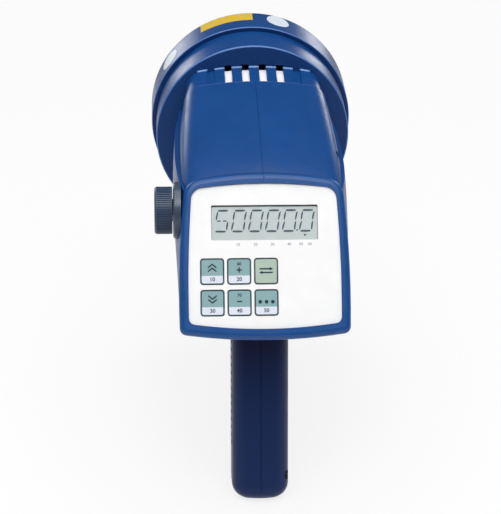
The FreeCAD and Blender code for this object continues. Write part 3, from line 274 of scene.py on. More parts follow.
@dataclass(frozen=True)
class Finish:
    """A finish whose colour and roughness wander a little over the surface."""

    name: str
    colour: Colour
    roughness: float = 0.32

    # How far the roughness wanders down and up.
    WEAR = (0.0, 0.0)

    def build(self) -> bpy.types.Material:
        """Return the finish as a material."""
        sketch = NodeSketch(self.name)
        self.draw(sketch)
        return sketch.material

    def draw(self, sketch: NodeSketch) -> None:
        """Draw the finish into an empty material, which each kind does in its own way."""
        raise NotImplementedError

    def tone(self, factor: float = 1.0) -> tuple[float, float, float, float]:
        """Return the finish's linear colour, made lighter or darker by a factor."""
        return linear(shade(self.colour, factor))

    def worn(self, sketch: NodeSketch, pattern: Socket) -> Socket:
        """Return the roughness, which wanders with a pattern."""
        return sketch.ramp(pattern, self.roughness - self.WEAR[0], self.roughness + self.WEAR[1])


@dataclass(frozen=True)
class Moulded(Finish):
    """A moulded plastic or rubber, with fine grain and slightly uneven colour."""

    roughness: float = 0.38
    specular: float = 0.3
    grain: float = 0.35 * MM
    relief: float = 0.006 * MM
    wander: float = 0.05
    painted_light: tuple[PaintedLightFade, ...] = ()

    WEAR = (0.04, 0.05)
    CLOUD, FLECK, SHINE = 22 * MM, 0.9 * MM, 9 * MM
    FLECK_TONES = (0.97, 1.03)

    def draw(self, sketch: NodeSketch) -> None:
        """Draw broad clouds and fine flecks of colour, then the painted light and shade along the
        stroboscope, and the grain.
        """
        low, high = self.tone(1.0 - self.wander), self.tone(1.0 + self.wander)
        broad = sketch.mix(sketch.cloud(self.CLOUD), low, high)
        fleck = sketch.mix(sketch.cloud(self.FLECK, 2.0), *(self.tone(tone) for tone in self.FLECK_TONES))
        colour = sketch.mix(0.5, broad, fleck)
        shine = self.specular
        sketch.set(Specular_IOR_Level=self.specular)
        # Paint light and shade into the colour and shine, one band at a time.
        for fade in self.painted_light:
            share = sketch.along(fade)
            colour = sketch.mix(share, colour, linear(fade.colour))
            shine = sketch.blend(share, shine, fade.specular)
        rough = self.worn(sketch, sketch.noise(self.SHINE, 3.0))
        relief = sketch.bump(sketch.noise(self.grain), self.relief)
        sketch.set(Base_Color=colour, Specular_IOR_Level=shine, Roughness=rough, Normal=relief)


@dataclass(frozen=True)
class Metal(Finish):
    """A turned or plated metal with fine tool lines."""

    metallic: float = 1.0

    WEAR = (0.07, 0.08)
    TARNISH, LINES, RELIEF = 6 * MM, 0.5 * MM, 0.004 * MM
    TARNISH_TONE = 0.86

    def draw(self, sketch: NodeSketch) -> None:
        """Draw a little tarnish and the tool lines."""
        lines = sketch.noise(self.LINES, 3.0)
        base = sketch.mix(sketch.cloud(self.TARNISH), self.tone(self.TARNISH_TONE), self.tone())
        relief = sketch.bump(lines, self.RELIEF)
        sketch.set(Base_Color=base, Roughness=self.worn(sketch, lines), Normal=relief,
                   Metallic=self.metallic)


@dataclass(frozen=True)
class Clear(Finish):
    """A clear window or lens, which turns glossy where it is seen aslant."""

    roughness: float = 0.05
    lowest: float = 0.06
    highest: float = 0.8
    specular: float = 0.6

    WEAR = (0.0, 0.05)
    SMEAR, HAZE = 12 * MM, 5 * MM
    SMEAR_TONE = 0.94

    def draw(self, sketch: NodeSketch) -> None:
        """Draw faint smears, and let the surface close where it is seen aslant."""
        base = sketch.mix(sketch.cloud(self.SMEAR), self.tone(), self.tone(self.SMEAR_TONE))
        rough = self.worn(sketch, sketch.noise(self.HAZE, 3.0))
        aslant = sketch.add("LayerWeight")
        aslant.inputs["Blend"].default_value = 0.5
        alpha = sketch.ramp(aslant.outputs["Facing"], self.lowest, self.highest, (0.5, 1.0))
        sketch.set(Base_Color=base, Roughness=rough, Alpha=alpha, Specular_IOR_Level=self.specular)


@dataclass(frozen=True)
class Printed(Finish):
    """A printed or coated sheet with a fine even tooth."""

    roughness: float = 0.46
    specular: float = 0.25
    tooth: float = 0.25 * MM
    relief: float = 0.003 * MM
    wander: float = 0.015

    WEAR = (0.03, 0.04)
    CLOUD = 14 * MM

    def draw(self, sketch: NodeSketch) -> None:
        """Draw faint clouds and the tooth."""
        base = sketch.mix(sketch.cloud(self.CLOUD, 2.0), self.tone(1.0 - self.wander), self.tone())
        tooth = sketch.noise(self.tooth, 1.0)
        relief = sketch.bump(tooth, self.relief)
        sketch.set(Base_Color=base, Roughness=self.worn(sketch, tooth), Normal=relief,
                   Specular_IOR_Level=self.specular)


@dataclass(frozen=True)
class Board(Finish):
    """A circuit board: green mask with copper tracks showing through."""

    LENGTH, PITCH, WIDTH = 3.1 * MM, 1.3 * MM, 0.25 * MM
    RELIEF = 0.03 * MM
    COPPER_TONE = 1.35

    def draw(self, sketch: NodeSketch) -> None:
        """Draw the tracks as raised paler lines."""
        tracks = sketch.add("TexBrick")
        for name, value in (("Scale", 1.0), ("Brick Width", self.LENGTH), ("Row Height", self.PITCH),
                            ("Mortar Size", self.WIDTH)):
            tracks.inputs[name].default_value = value
        sketch.join(sketch.place, tracks.inputs["Vector"])
        base = sketch.mix(tracks.outputs["Fac"], self.tone(), self.tone(self.COPPER_TONE))
        relief = sketch.bump(tracks.outputs["Fac"], self.RELIEF)
        sketch.set(Base_Color=base, Normal=relief, Roughness=self.roughness)


FORWARD = (0.0, 1.0, 0.0)
UPWARD = (0.0, 0.0, 1.0)
# The way that the control panel faces, and how far along it the panel's plane lies.
PANEL_TILT = 57.5
PANEL_ORIGIN = (0.0, 0.7 * MM, 171.8 * MM)
OUT_OF_PANEL = (0.0, -math.sin(math.radians(PANEL_TILT)), math.cos(math.radians(PANEL_TILT)))
PANEL_REACH = PANEL_ORIGIN[1] * OUT_OF_PANEL[1] + PANEL_ORIGIN[2] * OUT_OF_PANEL[2]
# How far the face sheet lies below the panel's highest face.
FACE_DEPTH = 0.9 * MM

# Painted shade: the handle is a darker blue, darkest at its top, where the body's shadow is painted on.
# Painted highlight: the panel's rim is paler, with a dark line of painted shade in the groove behind it.
HOUSING_PAINTED_LIGHT = (PaintedLightFade(UPWARD, 126 * MM, 116 * MM, (28, 27, 60), 0.15),
                 PaintedLightFade(UPWARD, 98 * MM, 78 * MM, (21, 41, 85), 0.18),
                 PaintedLightFade(OUT_OF_PANEL, PANEL_REACH - 6.9 * MM, PANEL_REACH - 6.5 * MM, (10, 36, 84), 0.2),
                 PaintedLightFade(OUT_OF_PANEL, PANEL_REACH - 6.0 * MM, PANEL_REACH - 5.4 * MM, (20, 73, 135), 0.4))
# Painted highlight: the rear edges of the lamp head are pale. Painted shade: its back wall is dark.
HEAD_PAINTED_LIGHT = (PaintedLightFade(FORWARD, 130.0 * MM, 129.8 * MM, (74, 116, 180), 0.4),
              PaintedLightFade(FORWARD, 129.35 * MM, 129.2 * MM, (26, 60, 114), 0.15))
# Painted highlight: the bezel's rear edge is pale. Painted shade: the rear face behind it is darker.
BEZEL_PAINTED_LIGHT = (PaintedLightFade(FORWARD, 153.95 * MM, 153.85 * MM, (74, 116, 180), 0.4),
               PaintedLightFade(FORWARD, 153.45 * MM, 153.35 * MM, (14, 48, 100), 0.2))


class Palette:
    """Every finish on the stroboscope, by the record's slot or the print's name."""

    FINISHES: tuple[Finish, ...] = (
        # The housing, head and bezel blues carry painted shade and painted highlights along them.
        Moulded("housing_blue", (15, 66, 127), 0.33, 0.32, painted_light=HOUSING_PAINTED_LIGHT),
        Moulded("head_blue", (15, 66, 127), 0.33, 0.32, painted_light=HEAD_PAINTED_LIGHT),
        Moulded("bezel_blue", (16, 66, 126), 0.32, 0.38, painted_light=BEZEL_PAINTED_LIGHT),
        # Paler than the housing's plastic: a painted highlight on the vent lips.
        Moulded("lip_highlight_blue", (112, 154, 212), 0.3, 0.5),
        # Paler than the housing's plastic: a painted highlight on the raised line across the neck.
        Moulded("line_highlight_blue", (40, 84, 150), 0.3, 0.4),
        Moulded("trigger_blue", (20, 52, 110), 0.36, 0.3),
        Printed("overlay_white", (238, 238, 238), 0.5, 0.25),
        Clear("clear_window", (214, 222, 220)),
        Printed("lcd_grey", (198, 208, 208), 0.35, 0.3, 0.12 * MM, 0.001 * MM, 0.03),
        Moulded("key_teal", (122, 168, 172), 0.5, 0.25, 0.2 * MM),
        Moulded("key_green", (176, 200, 180), 0.5, 0.25, 0.2 * MM),
        Moulded("knob_black", (58, 74, 98), 0.36, 0.3, 0.25 * MM, 0.008 * MM, 0.08),
        Moulded("collar_black", (54, 67, 88), 0.3, 0.6, 0.25 * MM),
        Clear("lens_clear", (226, 232, 236), 0.03, 0.08, 0.9),
        Moulded("gasket_rubber", (22, 22, 24), 0.6, 0.3),
        Metal("reflector_mirror", (238, 239, 242), 0.14, metallic=0.6),
        Clear("tube_glass", (236, 240, 246), 0.03, 0.35, 0.95),
        Metal("electrode_metal", (176, 172, 166), 0.3),
        Moulded("socket_white", (226, 224, 216), 0.5),
        Printed("shield_white", (236, 234, 240), 0.55),
        Board("board_green", (28, 96, 58)),
        Moulded("part_black", (28, 28, 30), 0.42),
        Moulded("capacitor_sleeve", (34, 44, 84), 0.3),
        Moulded("coil_tape", (214, 190, 92), 0.4),
        Moulded("cell_sleeve", (58, 128, 96), 0.32),
        Moulded("lead_red", (170, 34, 32), 0.4),
        Metal("nickel", (206, 204, 198), 0.24),
        Metal("screw_steel", (150, 150, 152), 0.34),
        Metal("screw_dark", (44, 50, 62), 0.45),
        Metal("spring_steel", (170, 172, 176), 0.26),
        Metal("brass", (208, 176, 104), 0.26),
        Printed("ink_teal", (133, 166, 169)),
        Printed("ink_pale", (216, 221, 233)),
        Printed("ink_green", (169, 187, 173)),
        Printed("ink_navy", (34, 52, 68)),
        Printed("ink_grey", (146, 142, 166)),
        Printed("segment_dark", (26, 66, 80), 0.3),
        # Painted shadow along the top of the display's recess, and painted shade down its sides.
        Printed("recess_shadow_dark", (46, 54, 64), 0.4),
        Printed("recess_shade_grey", (128, 138, 140), 0.4),
        Printed("sticker_yellow", (208, 176, 58), 0.4),
        Printed("sticker_white", (208, 216, 226), 0.4),
    )

    def __init__(self) -> None:
        """Build every material once."""
        self.materials = {finish.name: finish.build() for finish in self.FINISHES}

    def dress(self, thing: Thing, finish: str) -> None:
        """Give an object one finish in all its slots.

        Args:
            thing: a CAD node or a piece.
            finish: the finish's name.
        """
        slots = thing.data.materials
        if len(slots) == 0:
            slots.append(self.materials[finish])
        for index in range(len(slots)):
            slots[index] = self.materials[finish]


class Maker:
    """Makes pieces and files each one with its body and log line."""

    def __init__(self, palette: Palette) -> None:
        """Keep the palette that the pieces are dressed from."""
        self.palette = palette

    def finish(self, name: str, mesh: Mesh, finish: str, slot: str, body: str,
               smooth: bool = False) -> Thing:
        """Turn a built mesh into a dressed piece that rides on its body.

        Args:
            name: the piece's name.
            mesh: its mesh, in the CAD frame, in metres. It is freed.
            finish: the finish's name.
            slot: the record's material slot; not used.
            body: the CAD body that carries it.
            smooth: whether its faces shade smoothly.

        Returns:
            The new object.
        """
        bmesh.ops.recalc_face_normals(mesh, faces=mesh.faces)
        data = bpy.data.meshes.new(name)
        mesh.to_mesh(data)
        mesh.free()
        thing = bpy.data.objects.new(name, data)
        bpy.context.scene.collection.objects.link(thing)
        for polygon in data.polygons:
            polygon.use_smooth = smooth
        self.palette.dress(thing, finish)
        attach(thing, body)
        LOG.info("%s: %d faces on %s", name, len(data.polygons), body)
        return thing

    def lay(self, name: str, loops: list[Loop], place: Matrix, finish: str, slot: str, body: str) -> None:
        """Lay flat prints on a face as one piece.

        Args:
            name: the piece's name.
            loops: the prints' outlines, in metres.
            place: the matrix from the face's own plane to the CAD frame.
            finish: the finish's name.
            slot: the record's material slot.
            body: the CAD body that carries it.
        """
        mesh = bmesh.new()
        for loop in loops:
            add_prism(mesh, loop, -INK_SINK, INK_HEIGHT, place)
        self.finish(name, mesh, finish, slot, body)


def rounded_loop(width: float, height: float, radius: float, steps: int = 8) -> Loop:
    """Return a rounded rectangle about the origin, counter-clockwise.

    Args:
        width: its whole width.
        height: its whole height.
        radius: its corner radius.
        steps: how many runs each corner has.

    Returns:
        The points in order.
    """
    points = []
    for index, (sx, sy) in enumerate(((1, 1), (-1, 1), (-1, -1), (1, -1))):
        cx, cy = sx * (width / 2 - radius), sy * (height / 2 - radius)
        for step in range(steps + 1):
            angle = math.radians(90 * (index + step / steps))
            points.append((cx + radius * math.cos(angle), cy + radius * math.sin(angle)))
    return points


def metres(loop: Loop) -> Loop:
    """Return a loop given in millimetres in metres."""
    return [(u * MM, v * MM) for u, v in loop]


def shifted(loop: Loop, du: float, dv: float) -> Loop:
    """Return a loop moved by (du, dv)."""
    return [(u + du, v + dv) for u, v in loop]


def add_prism(mesh: Mesh, loop: Loop, low: float, high: float, place: Matrix) -> None:
    """Add a closed prism over a loop.

    Args:
        mesh: the mesh that it is added to.
        loop: its outline in the local plane, in metres.
        low: height of its lower face.
        high: height of its upper face.
        place: the matrix from the local plane to the CAD frame.
    """
    lower = [mesh.verts.new(place @ Vector((u, v, low))) for u, v in loop]
    upper = [mesh.verts.new(place @ Vector((u, v, high))) for u, v in loop]
    mesh.faces.new(upper)
    mesh.faces.new(lower[::-1])
    for index in range(len(loop)):
        after = (index + 1) % len(loop)
        mesh.faces.new((lower[index], lower[after], upper[after], upper[index]))


def add_ring(mesh: Mesh, outer: Loop, inner: Loop, low: float, high: float,
             place: Matrix) -> None:
    """Add a closed flat ring between two loops of the same count.

    Args:
        mesh: the mesh that it is added to.
        outer: the outside outline.
        inner: the inside outline.
        low: height of its lower face.
        high: height of its upper face.
        place: the matrix from the local plane to the CAD frame.
    """
    levels = [[mesh.verts.new(place @ Vector((u, v, height))) for u, v in loop]
              for height in (low, high) for loop in (outer, inner)]
    low_outer, low_inner, high_outer, high_inner = levels
    count = len(outer)
    for index in range(count):
        after = (index + 1) % count
        mesh.faces.new((high_outer[index], high_outer[after], high_inner[after], high_inner[index]))
        mesh.faces.new((low_outer[after], low_outer[index], low_inner[index], low_inner[after]))
        mesh.faces.new((low_outer[index], low_outer[after], high_outer[after], high_outer[index]))
        mesh.faces.new((high_inner[index], high_inner[after], low_inner[after], low_inner[index]))


def add_skin(mesh: Mesh, rows: list[list[bmesh.types.BMVert]]) -> None:
    """Join rows of corners that follow each other into one closed bar.

    Args:
        mesh: the mesh that it is added to.
        rows: the corners of each section, in the same order.
    """
    count = len(rows[0])
    for before, after in zip(rows, rows[1:]):
        for index in range(count):
            follow = (index + 1) % count
            mesh.faces.new((before[index], after[index], after[follow], before[follow]))
    mesh.faces.new(rows[0])
    mesh.faces.new(rows[-1][::-1])


def add_curved_plate(mesh: Mesh, columns: list[Place], axis_height: float, low: float,
                     high: float) -> None:
    """Add a closed thin plate that lies round a level cylinder along Y.

    Args:
        mesh: the mesh that it is added to.
        columns: for each step round the cylinder its angle in degrees, and the plate's first and last Y.
        axis_height: height of the cylinder's axis.
        low: radius of the plate's inner face.
        high: radius of its outer face.
    """
    rows = []
    for angle, first, last in columns:
        out = Vector((math.cos(math.radians(angle)), 0, math.sin(math.radians(angle))))
        base = Vector((0, 0, axis_height))
        rows.append([mesh.verts.new(base + out * radius + Vector((0, y, 0)))
                     for radius, y in ((low, first), (high, first), (high, last), (low, last))])
    add_skin(mesh, rows)


def stroke(start: Point2, end: Point2, width: float, bow: float = 0.0, taper: float = 0.6,
           steps: int = 8) -> Loop:
    """Return a slim stroke that is fullest in its middle.

    Args:
        start: middle of its first end.
        end: middle of its second end.
        width: its width at the middle.
        bow: how far its middle leans to the left of its run.
        taper: its width at the ends as a share of the middle's.
        steps: how many runs each side has.

    Returns:
        The outline's points.
    """
    run = Vector(end) - Vector(start)
    side = Vector((-run.y, run.x)).normalized()
    left, right = [], []
    for step in range(steps + 1):
        share = step / steps
        swell = 4 * share * (1 - share)
        centre = Vector(start) + run * share + side * bow * swell
        half = width / 2 * (taper + (1 - taper) * swell)
        left.append(tuple(centre + side * half))
        right.append(tuple(centre - side * half))
    return right + left[::-1]


@dataclass
class Panel:
    """The tilted control panel's own plane: u to the right, v up the panel, height out of it."""

    origin: Place = PANEL_ORIGIN
    tilt: float = PANEL_TILT

    def matrix(self, u: float = 0.0, v: float = 0.0, depth: float = 0.0) -> Matrix:
        """Return the place of a point of the panel.

        Args:
            u: its place to the right, in metres.
            v: its place up the panel.
            depth: how far it lies below the panel's highest face.

        Returns:
            The matrix from the point's own plane to the CAD frame.
        """
        turn = Matrix.Rotation(math.radians(self.tilt), 4, "X")
        return Matrix.Translation(self.origin) @ turn @ Matrix.Translation((u, v, -depth))


def text_mesh(mesh: Mesh, text: str, size: float, place: Matrix, bold: float = 0.0) -> None:
    """Add plain numerals as closed raised shapes.

    Args:
        mesh: the mesh that they are added to.
        text: the numerals.
        size: their height in metres.
        place: the matrix from their own plane to the CAD frame.
        bold: how far their outlines are widened, in metres.
    """
    curve = bpy.data.curves.new("numerals", "FONT")
    curve.body = text
    curve.size = size * NUMERAL_RATIO
    curve.offset = bold
    curve.align_x = "CENTER"
    curve.align_y = "CENTER"
    curve.resolution_u = 4
    curve.extrude = (INK_HEIGHT + INK_SINK) / 2
    thing = bpy.data.objects.new("numerals", curve)
    bpy.context.scene.collection.objects.link(thing)
    bpy.context.view_layer.update()
    data = bpy.data.meshes.new_from_object(thing.evaluated_get(bpy.context.evaluated_depsgraph_get()))
    data.transform(place @ Matrix.Translation((0, 0, (INK_HEIGHT - INK_SINK) / 2)))
    mesh.from_mesh(data)
    bpy.data.objects.remove(thing)
    bpy.data.meshes.remove(data)
    bpy.data.curves.remove(curve)


@dataclass(frozen=True)
class Lamp:
    """One square lamp that faces the stroboscope and isn't seen itself."""

    name: str
    place: Place
    size: float
    power: float
    aim: Place = (0.0, 0.05, 0.14)

    def hang(self) -> None:
        """Hang the lamp at its place."""
        data = bpy.data.lights.new(self.name, "AREA")
        data.size = self.size
        data.energy = self.power
        lamp = bpy.data.objects.new(self.name, data)
        lamp.visible_camera = False
        lamp.location = self.place
        run = Vector(self.aim) - Vector(self.place)
        lamp.rotation_euler = run.to_track_quat("-Z", "Y").to_euler()
        bpy.context.scene.collection.objects.link(lamp)


@dataclass
class Studio:
    """Camera, lamps, world and floor. A glow pairs the levels with the span that they are reached over."""

    eye: Place = (-0.0544, -0.8423, 0.604)
    yaw: float = 3.2
    pitch: float = -28.08
    roll: float = 0.91
    lens: float = 122.82
    sensor: float = 36.0
    clip: Point2 = (0.01, 50.0)
    world_level: float = 0.38
    rising_glow: tuple[float, float, Point2] = (0.4, 0.08, (0.0, 0.24))
    ahead_glow: tuple[float, float, Point2] = (0.15, 1.0, (-0.3, 0.2))
    floor_size: float = 6.0
    floor_shades: Point2 = (238, 241)
    far_glow: tuple[float, float, Point2] = (0.8, 1.0, (0.5, 2.2))
    near_glow: tuple[float, float, Point2] = (0.9, 0.15, (0.6, 1.4))

    LAMPS = (Lamp("overhead_lamp", (0.0, -0.2, 1.45), 1.7, 22.0),
             Lamp("rear_lamp", (-0.15, -0.75, 1.35), 0.7, 4.0),
             Lamp("left_lamp", (-0.82, 1.75, 0.3), 0.5, 3.0),
             Lamp("right_lamp", (0.85, 1.75, 0.3), 0.4, 2.5))
    SEEN_RAYS = ("Is Camera Ray", "Is Glossy Ray", "Is Transmission Ray")

    def build(self) -> None:
        """Set up the whole studio."""
        self.place_camera()
        for lamp in self.LAMPS:
            lamp.hang()
        self.surround()
        self.lay_floor()

    def place_camera(self) -> None:
        """Put the camera at the photograph's viewpoint."""
        yaw, pitch, roll = (math.radians(value) for value in (self.yaw, self.pitch, self.roll))
        level = math.cos(pitch)
        forward = Vector((math.sin(yaw) * level, math.cos(yaw) * level, math.sin(pitch)))
        right = Vector((math.cos(yaw), -math.sin(yaw), 0))
        up = right.cross(forward)
        right, up = (right * math.cos(roll) + up * math.sin(roll),
                     up * math.cos(roll) - right * math.sin(roll))
        data = bpy.data.cameras.new("camera")
        data.lens = self.lens
        data.sensor_width = self.sensor
        data.clip_start, data.clip_end = self.clip
        camera = bpy.data.objects.new("camera", data)
        turn = Matrix((right, up, -forward)).transposed().to_4x4()
        camera.matrix_world = Matrix.Translation(self.eye) @ turn
        bpy.context.scene.collection.objects.link(camera)
        bpy.context.scene.camera = camera

    def surround(self) -> None:
        """Make the world: even light, and a white backdrop whose reflection darkens above and behind."""
        world = bpy.data.worlds.new("surround")
        bpy.context.scene.world = world
        wiring = Wiring(world, "OutputWorld")
        even = wiring.add("Background")
        even.inputs["Strength"].default_value = self.world_level
        seen = wiring.add("Background")
        split = wiring.add("SeparateXYZ")
        wiring.join(wiring.add("TexCoord").outputs["Generated"], split.inputs["Vector"])
        rising = wiring.ramp(split.outputs["Z"], *self.rising_glow)
        ahead = wiring.ramp(split.outputs["Y"], *self.ahead_glow)
        rays = wiring.add("LightPath").outputs
        reflected = wiring.joined("MULTIPLY", [rising, ahead])
        wiring.join(wiring.joined("MAXIMUM", [reflected, rays["Is Camera Ray"]]), seen.inputs["Color"])
        either = wiring.joined("MAXIMUM", [rays[name] for name in self.SEEN_RAYS])
        wiring.surface(either, even.outputs["Background"], seen.outputs["Background"])

    def lay_floor(self) -> None:
        """Lay the pale floor that takes the stroboscope's shadow."""
        mesh = bmesh.new()
        bmesh.ops.create_grid(mesh, x_segments=8, y_segments=8, size=self.floor_size)
        data = bpy.data.meshes.new("floor")
        mesh.to_mesh(data)
        mesh.free()
        floor = bpy.data.objects.new("floor", data)
        bpy.context.scene.collection.objects.link(floor)
        sketch = NodeSketch("floor_white")
        first, last = (linear((level, level, level)) for level in self.floor_shades)
        shades = sketch.mix(sketch.noise(0.4), first, last)
        sketch.set(Base_Color=shades, Roughness=0.9, Specular_IOR_Level=0.0)
        reach = sketch.add("VectorMath")
        reach.operation = "LENGTH"
        sketch.join(sketch.place, reach.inputs[0])
        rays = sketch.add("LightPath").outputs
        seen = rays["Is Camera Ray"]
        mirrored = sketch.joined("MAXIMUM", [rays[name] for name in self.SEEN_RAYS[1:]])
        far = sketch.ramp(reach.outputs["Value"], *self.far_glow)
        near = sketch.ramp(reach.outputs["Value"], *self.near_glow)
        glow = sketch.add("Emission")
        sketch.join(sketch.joined("MAXIMUM", [seen, near]), glow.inputs["Strength"])
        share = sketch.joined("MAXIMUM", [sketch.joined("MULTIPLY", [seen, far]), mirrored])
        sketch.surface(share, sketch.shader.outputs["BSDF"], glow.outputs["Emission"])
        data.materials.append(sketch.material)
        LOG.info("floor laid")


@dataclass
class Display:
    """The display: a thin pane, the glass cell with its dark segments, the painted shadow and shade at the
    window's edges, and the scale under the window.
    """

    maker: Maker
    panel: Panel
    pane_size: Point2 = (59.3 * MM, 20.5 * MM)
    pane_corner: float = 0.6 * MM
    pane_depths: Point2 = (2.02 * MM, 1.72 * MM)
    cell_size: Point2 = (58.8 * MM, 20.0 * MM)
    cell_corner: float = 0.4 * MM
    cell_depths: Point2 = (3.0 * MM, 2.1 * MM)
    first_digit: Point2 = (-23.7, -2.03)
    pitch: float = 9.224
    slant: float = 0.127
    shown: str = "500000"
    window: Point2 = (57.9, 19.1)
    window_middle: Point2 = (0.2, 2.65)
    edge_overlap: float = 0.1
    edge_drop: float = 1.0
    side_line: float = 0.35
    side_inset: float = 0.2
    scale_places: tuple[float, ...] = (-14.4, -4.86, 4.27, 13.4, 19.8, 24.6)
    scale_level: float = -9.3 * MM
    scale_size: float = 1.5 * MM

    # Each segment's two ends, width, bow and taper, in millimetres from its digit's base.
    SEGMENTS = {"top": ((-2.7, 11.33), (2.7, 11.33), 1.15, 0.0, 0.72),
                "bottom": ((-2.7, 0.0), (2.7, 0.0), 1.15, 0.0, 0.72),
                "mid_left": ((-2.5, 5.72), (-0.62, 5.72), 0.75, 0.0, 0.72),
                "mid_right": ((0.62, 5.72), (2.6, 5.72), 0.75, 0.0, 0.72),
                "upper_left": ((-3.0, 6.15), (-2.72, 10.65), 0.95, 0.10, 0.5),
                "lower_left": ((-3.3, 0.7), (-2.7, 5.3), 0.95, 0.12, 0.5),
                "upper_right": ((3.1, 6.15), (3.6, 10.65), 0.95, 0.10, 0.5),
                "lower_right": ((3.25, 0.7), (3.35, 5.3), 0.95, 0.12, 0.5)}
    EDGE_CORNER = ((0.0, -0.7), (0.4, -0.35), (1.0, 0.0))
    POINT = ((4.62, 0.0), (4.62, 1.05), 0.75, 0.0, 0.8)
    ARROW = [(-0.95, -1.7), (0.0, -3.0), (0.95, -1.7)]
    LIT = {"5": ("top", "upper_left", "mid_left", "mid_right", "lower_right", "bottom"),
           "0": ("top", "upper_left", "upper_right", "lower_left", "lower_right", "bottom")}

    def build(self) -> None:
        """Build every piece of the display."""
        self.build_glass()
        self.build_segments()
        self.build_recess_shade()
        self.build_marks()

    def build_glass(self) -> None:
        """Build the display's glass cell and the clear pane over it, which stands for the CAD window."""
        u, v = (value * MM for value in self.window_middle)
        for name, size, corner, depths, finish in (
                ("display_cell", self.cell_size, self.cell_corner, self.cell_depths, "lcd_grey"),
                ("display_pane", self.pane_size, self.pane_corner, self.pane_depths, "clear_window")):
            mesh = bmesh.new()
            loop = rounded_loop(*size, corner, 4)
            add_prism(mesh, loop, -depths[0], -depths[1], self.panel.matrix(u, v))
            thing = self.maker.finish(name, mesh, finish, finish, SHELL)
        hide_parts("display_window")

    def slanted(self, loop: Loop, base: Point2) -> Loop:
        """Lean a loop with the digits and move it to its place.

        Args:
            loop: points in millimetres from the digit's base.
            base: the base's place on the panel, in millimetres.

        Returns:
            The points in metres on the panel.
        """
        return [((base[0] + u + self.slant * v) * MM, (base[1] + v) * MM) for u, v in loop]

    def build_segments(self) -> None:
        """Lay the dark segments of the reading on the glass."""
        place = self.panel.matrix(depth=self.cell_depths[1])
        bases = [(self.first_digit[0] + index * self.pitch, self.first_digit[1])
                 for index in range(len(self.shown))]
        loops = [self.slanted(stroke(*self.SEGMENTS[name]), base)
                 for digit, base in zip(self.shown, bases) for name in self.LIT[digit]]
        loops += [self.slanted(stroke(*self.POINT), bases[-2]), self.slanted(self.ARROW, bases[-1])]
        self.maker.lay("display_segments", loops, place, "segment_dark", "lcd_grey", SHELL)

    def build_recess_shade(self) -> None:
        """Lay a dark line of painted shadow along the top of the glass, where the window's recess shades
        it, and thin grey lines of painted shade down its sides.
        """
        half_width, half_height = (size / 2 + self.edge_overlap for size in self.window)
        u, v = (value * MM for value in self.window_middle)
        place = self.panel.matrix(u, v, self.cell_depths[1])
        low = half_height - self.edge_drop
        left = [(-half_width + u, low + v) for u, v in self.EDGE_CORNER]
        right = [(-u, v) for u, v in left[::-1]]
        arch = left + right + [(half_width, half_height), (-half_width, half_height)]
        self.maker.lay("display_top_shadow", [metres(arch)], place, "recess_shadow_dark", "lcd_grey", SHELL)
        strip = rounded_loop(self.side_line * MM, (2 * half_height - 1.8) * MM, 0.1 * MM, 2)
        strips = [shifted(strip, side * (half_width - self.side_inset) * MM, -0.9 * MM) for side in (-1, 1)]
        self.maker.lay("display_side_shade", strips, place, "recess_shade_grey", "lcd_grey", SHELL)

    def build_marks(self) -> None:
        """Print the small numbers of the scale under the window."""
        mesh = bmesh.new()
        for index, u in enumerate(self.scale_places):
            place = self.panel.matrix(u * MM, self.scale_level, FACE_DEPTH)
            text_mesh(mesh, str(10 * (index + 1)), self.scale_size, place, 0.03 * MM)
        self.maker.finish("scale_numbers", mesh, "ink_grey", "overlay_white", SHELL)


class KeySign(Enum):
    """The generic sign that is printed on a key."""

    UP = "up"
    DOWN = "down"
    PLUS = "plus"
    MINUS = "minus"
    SWAP = "swap"
    DOTS = "dots"


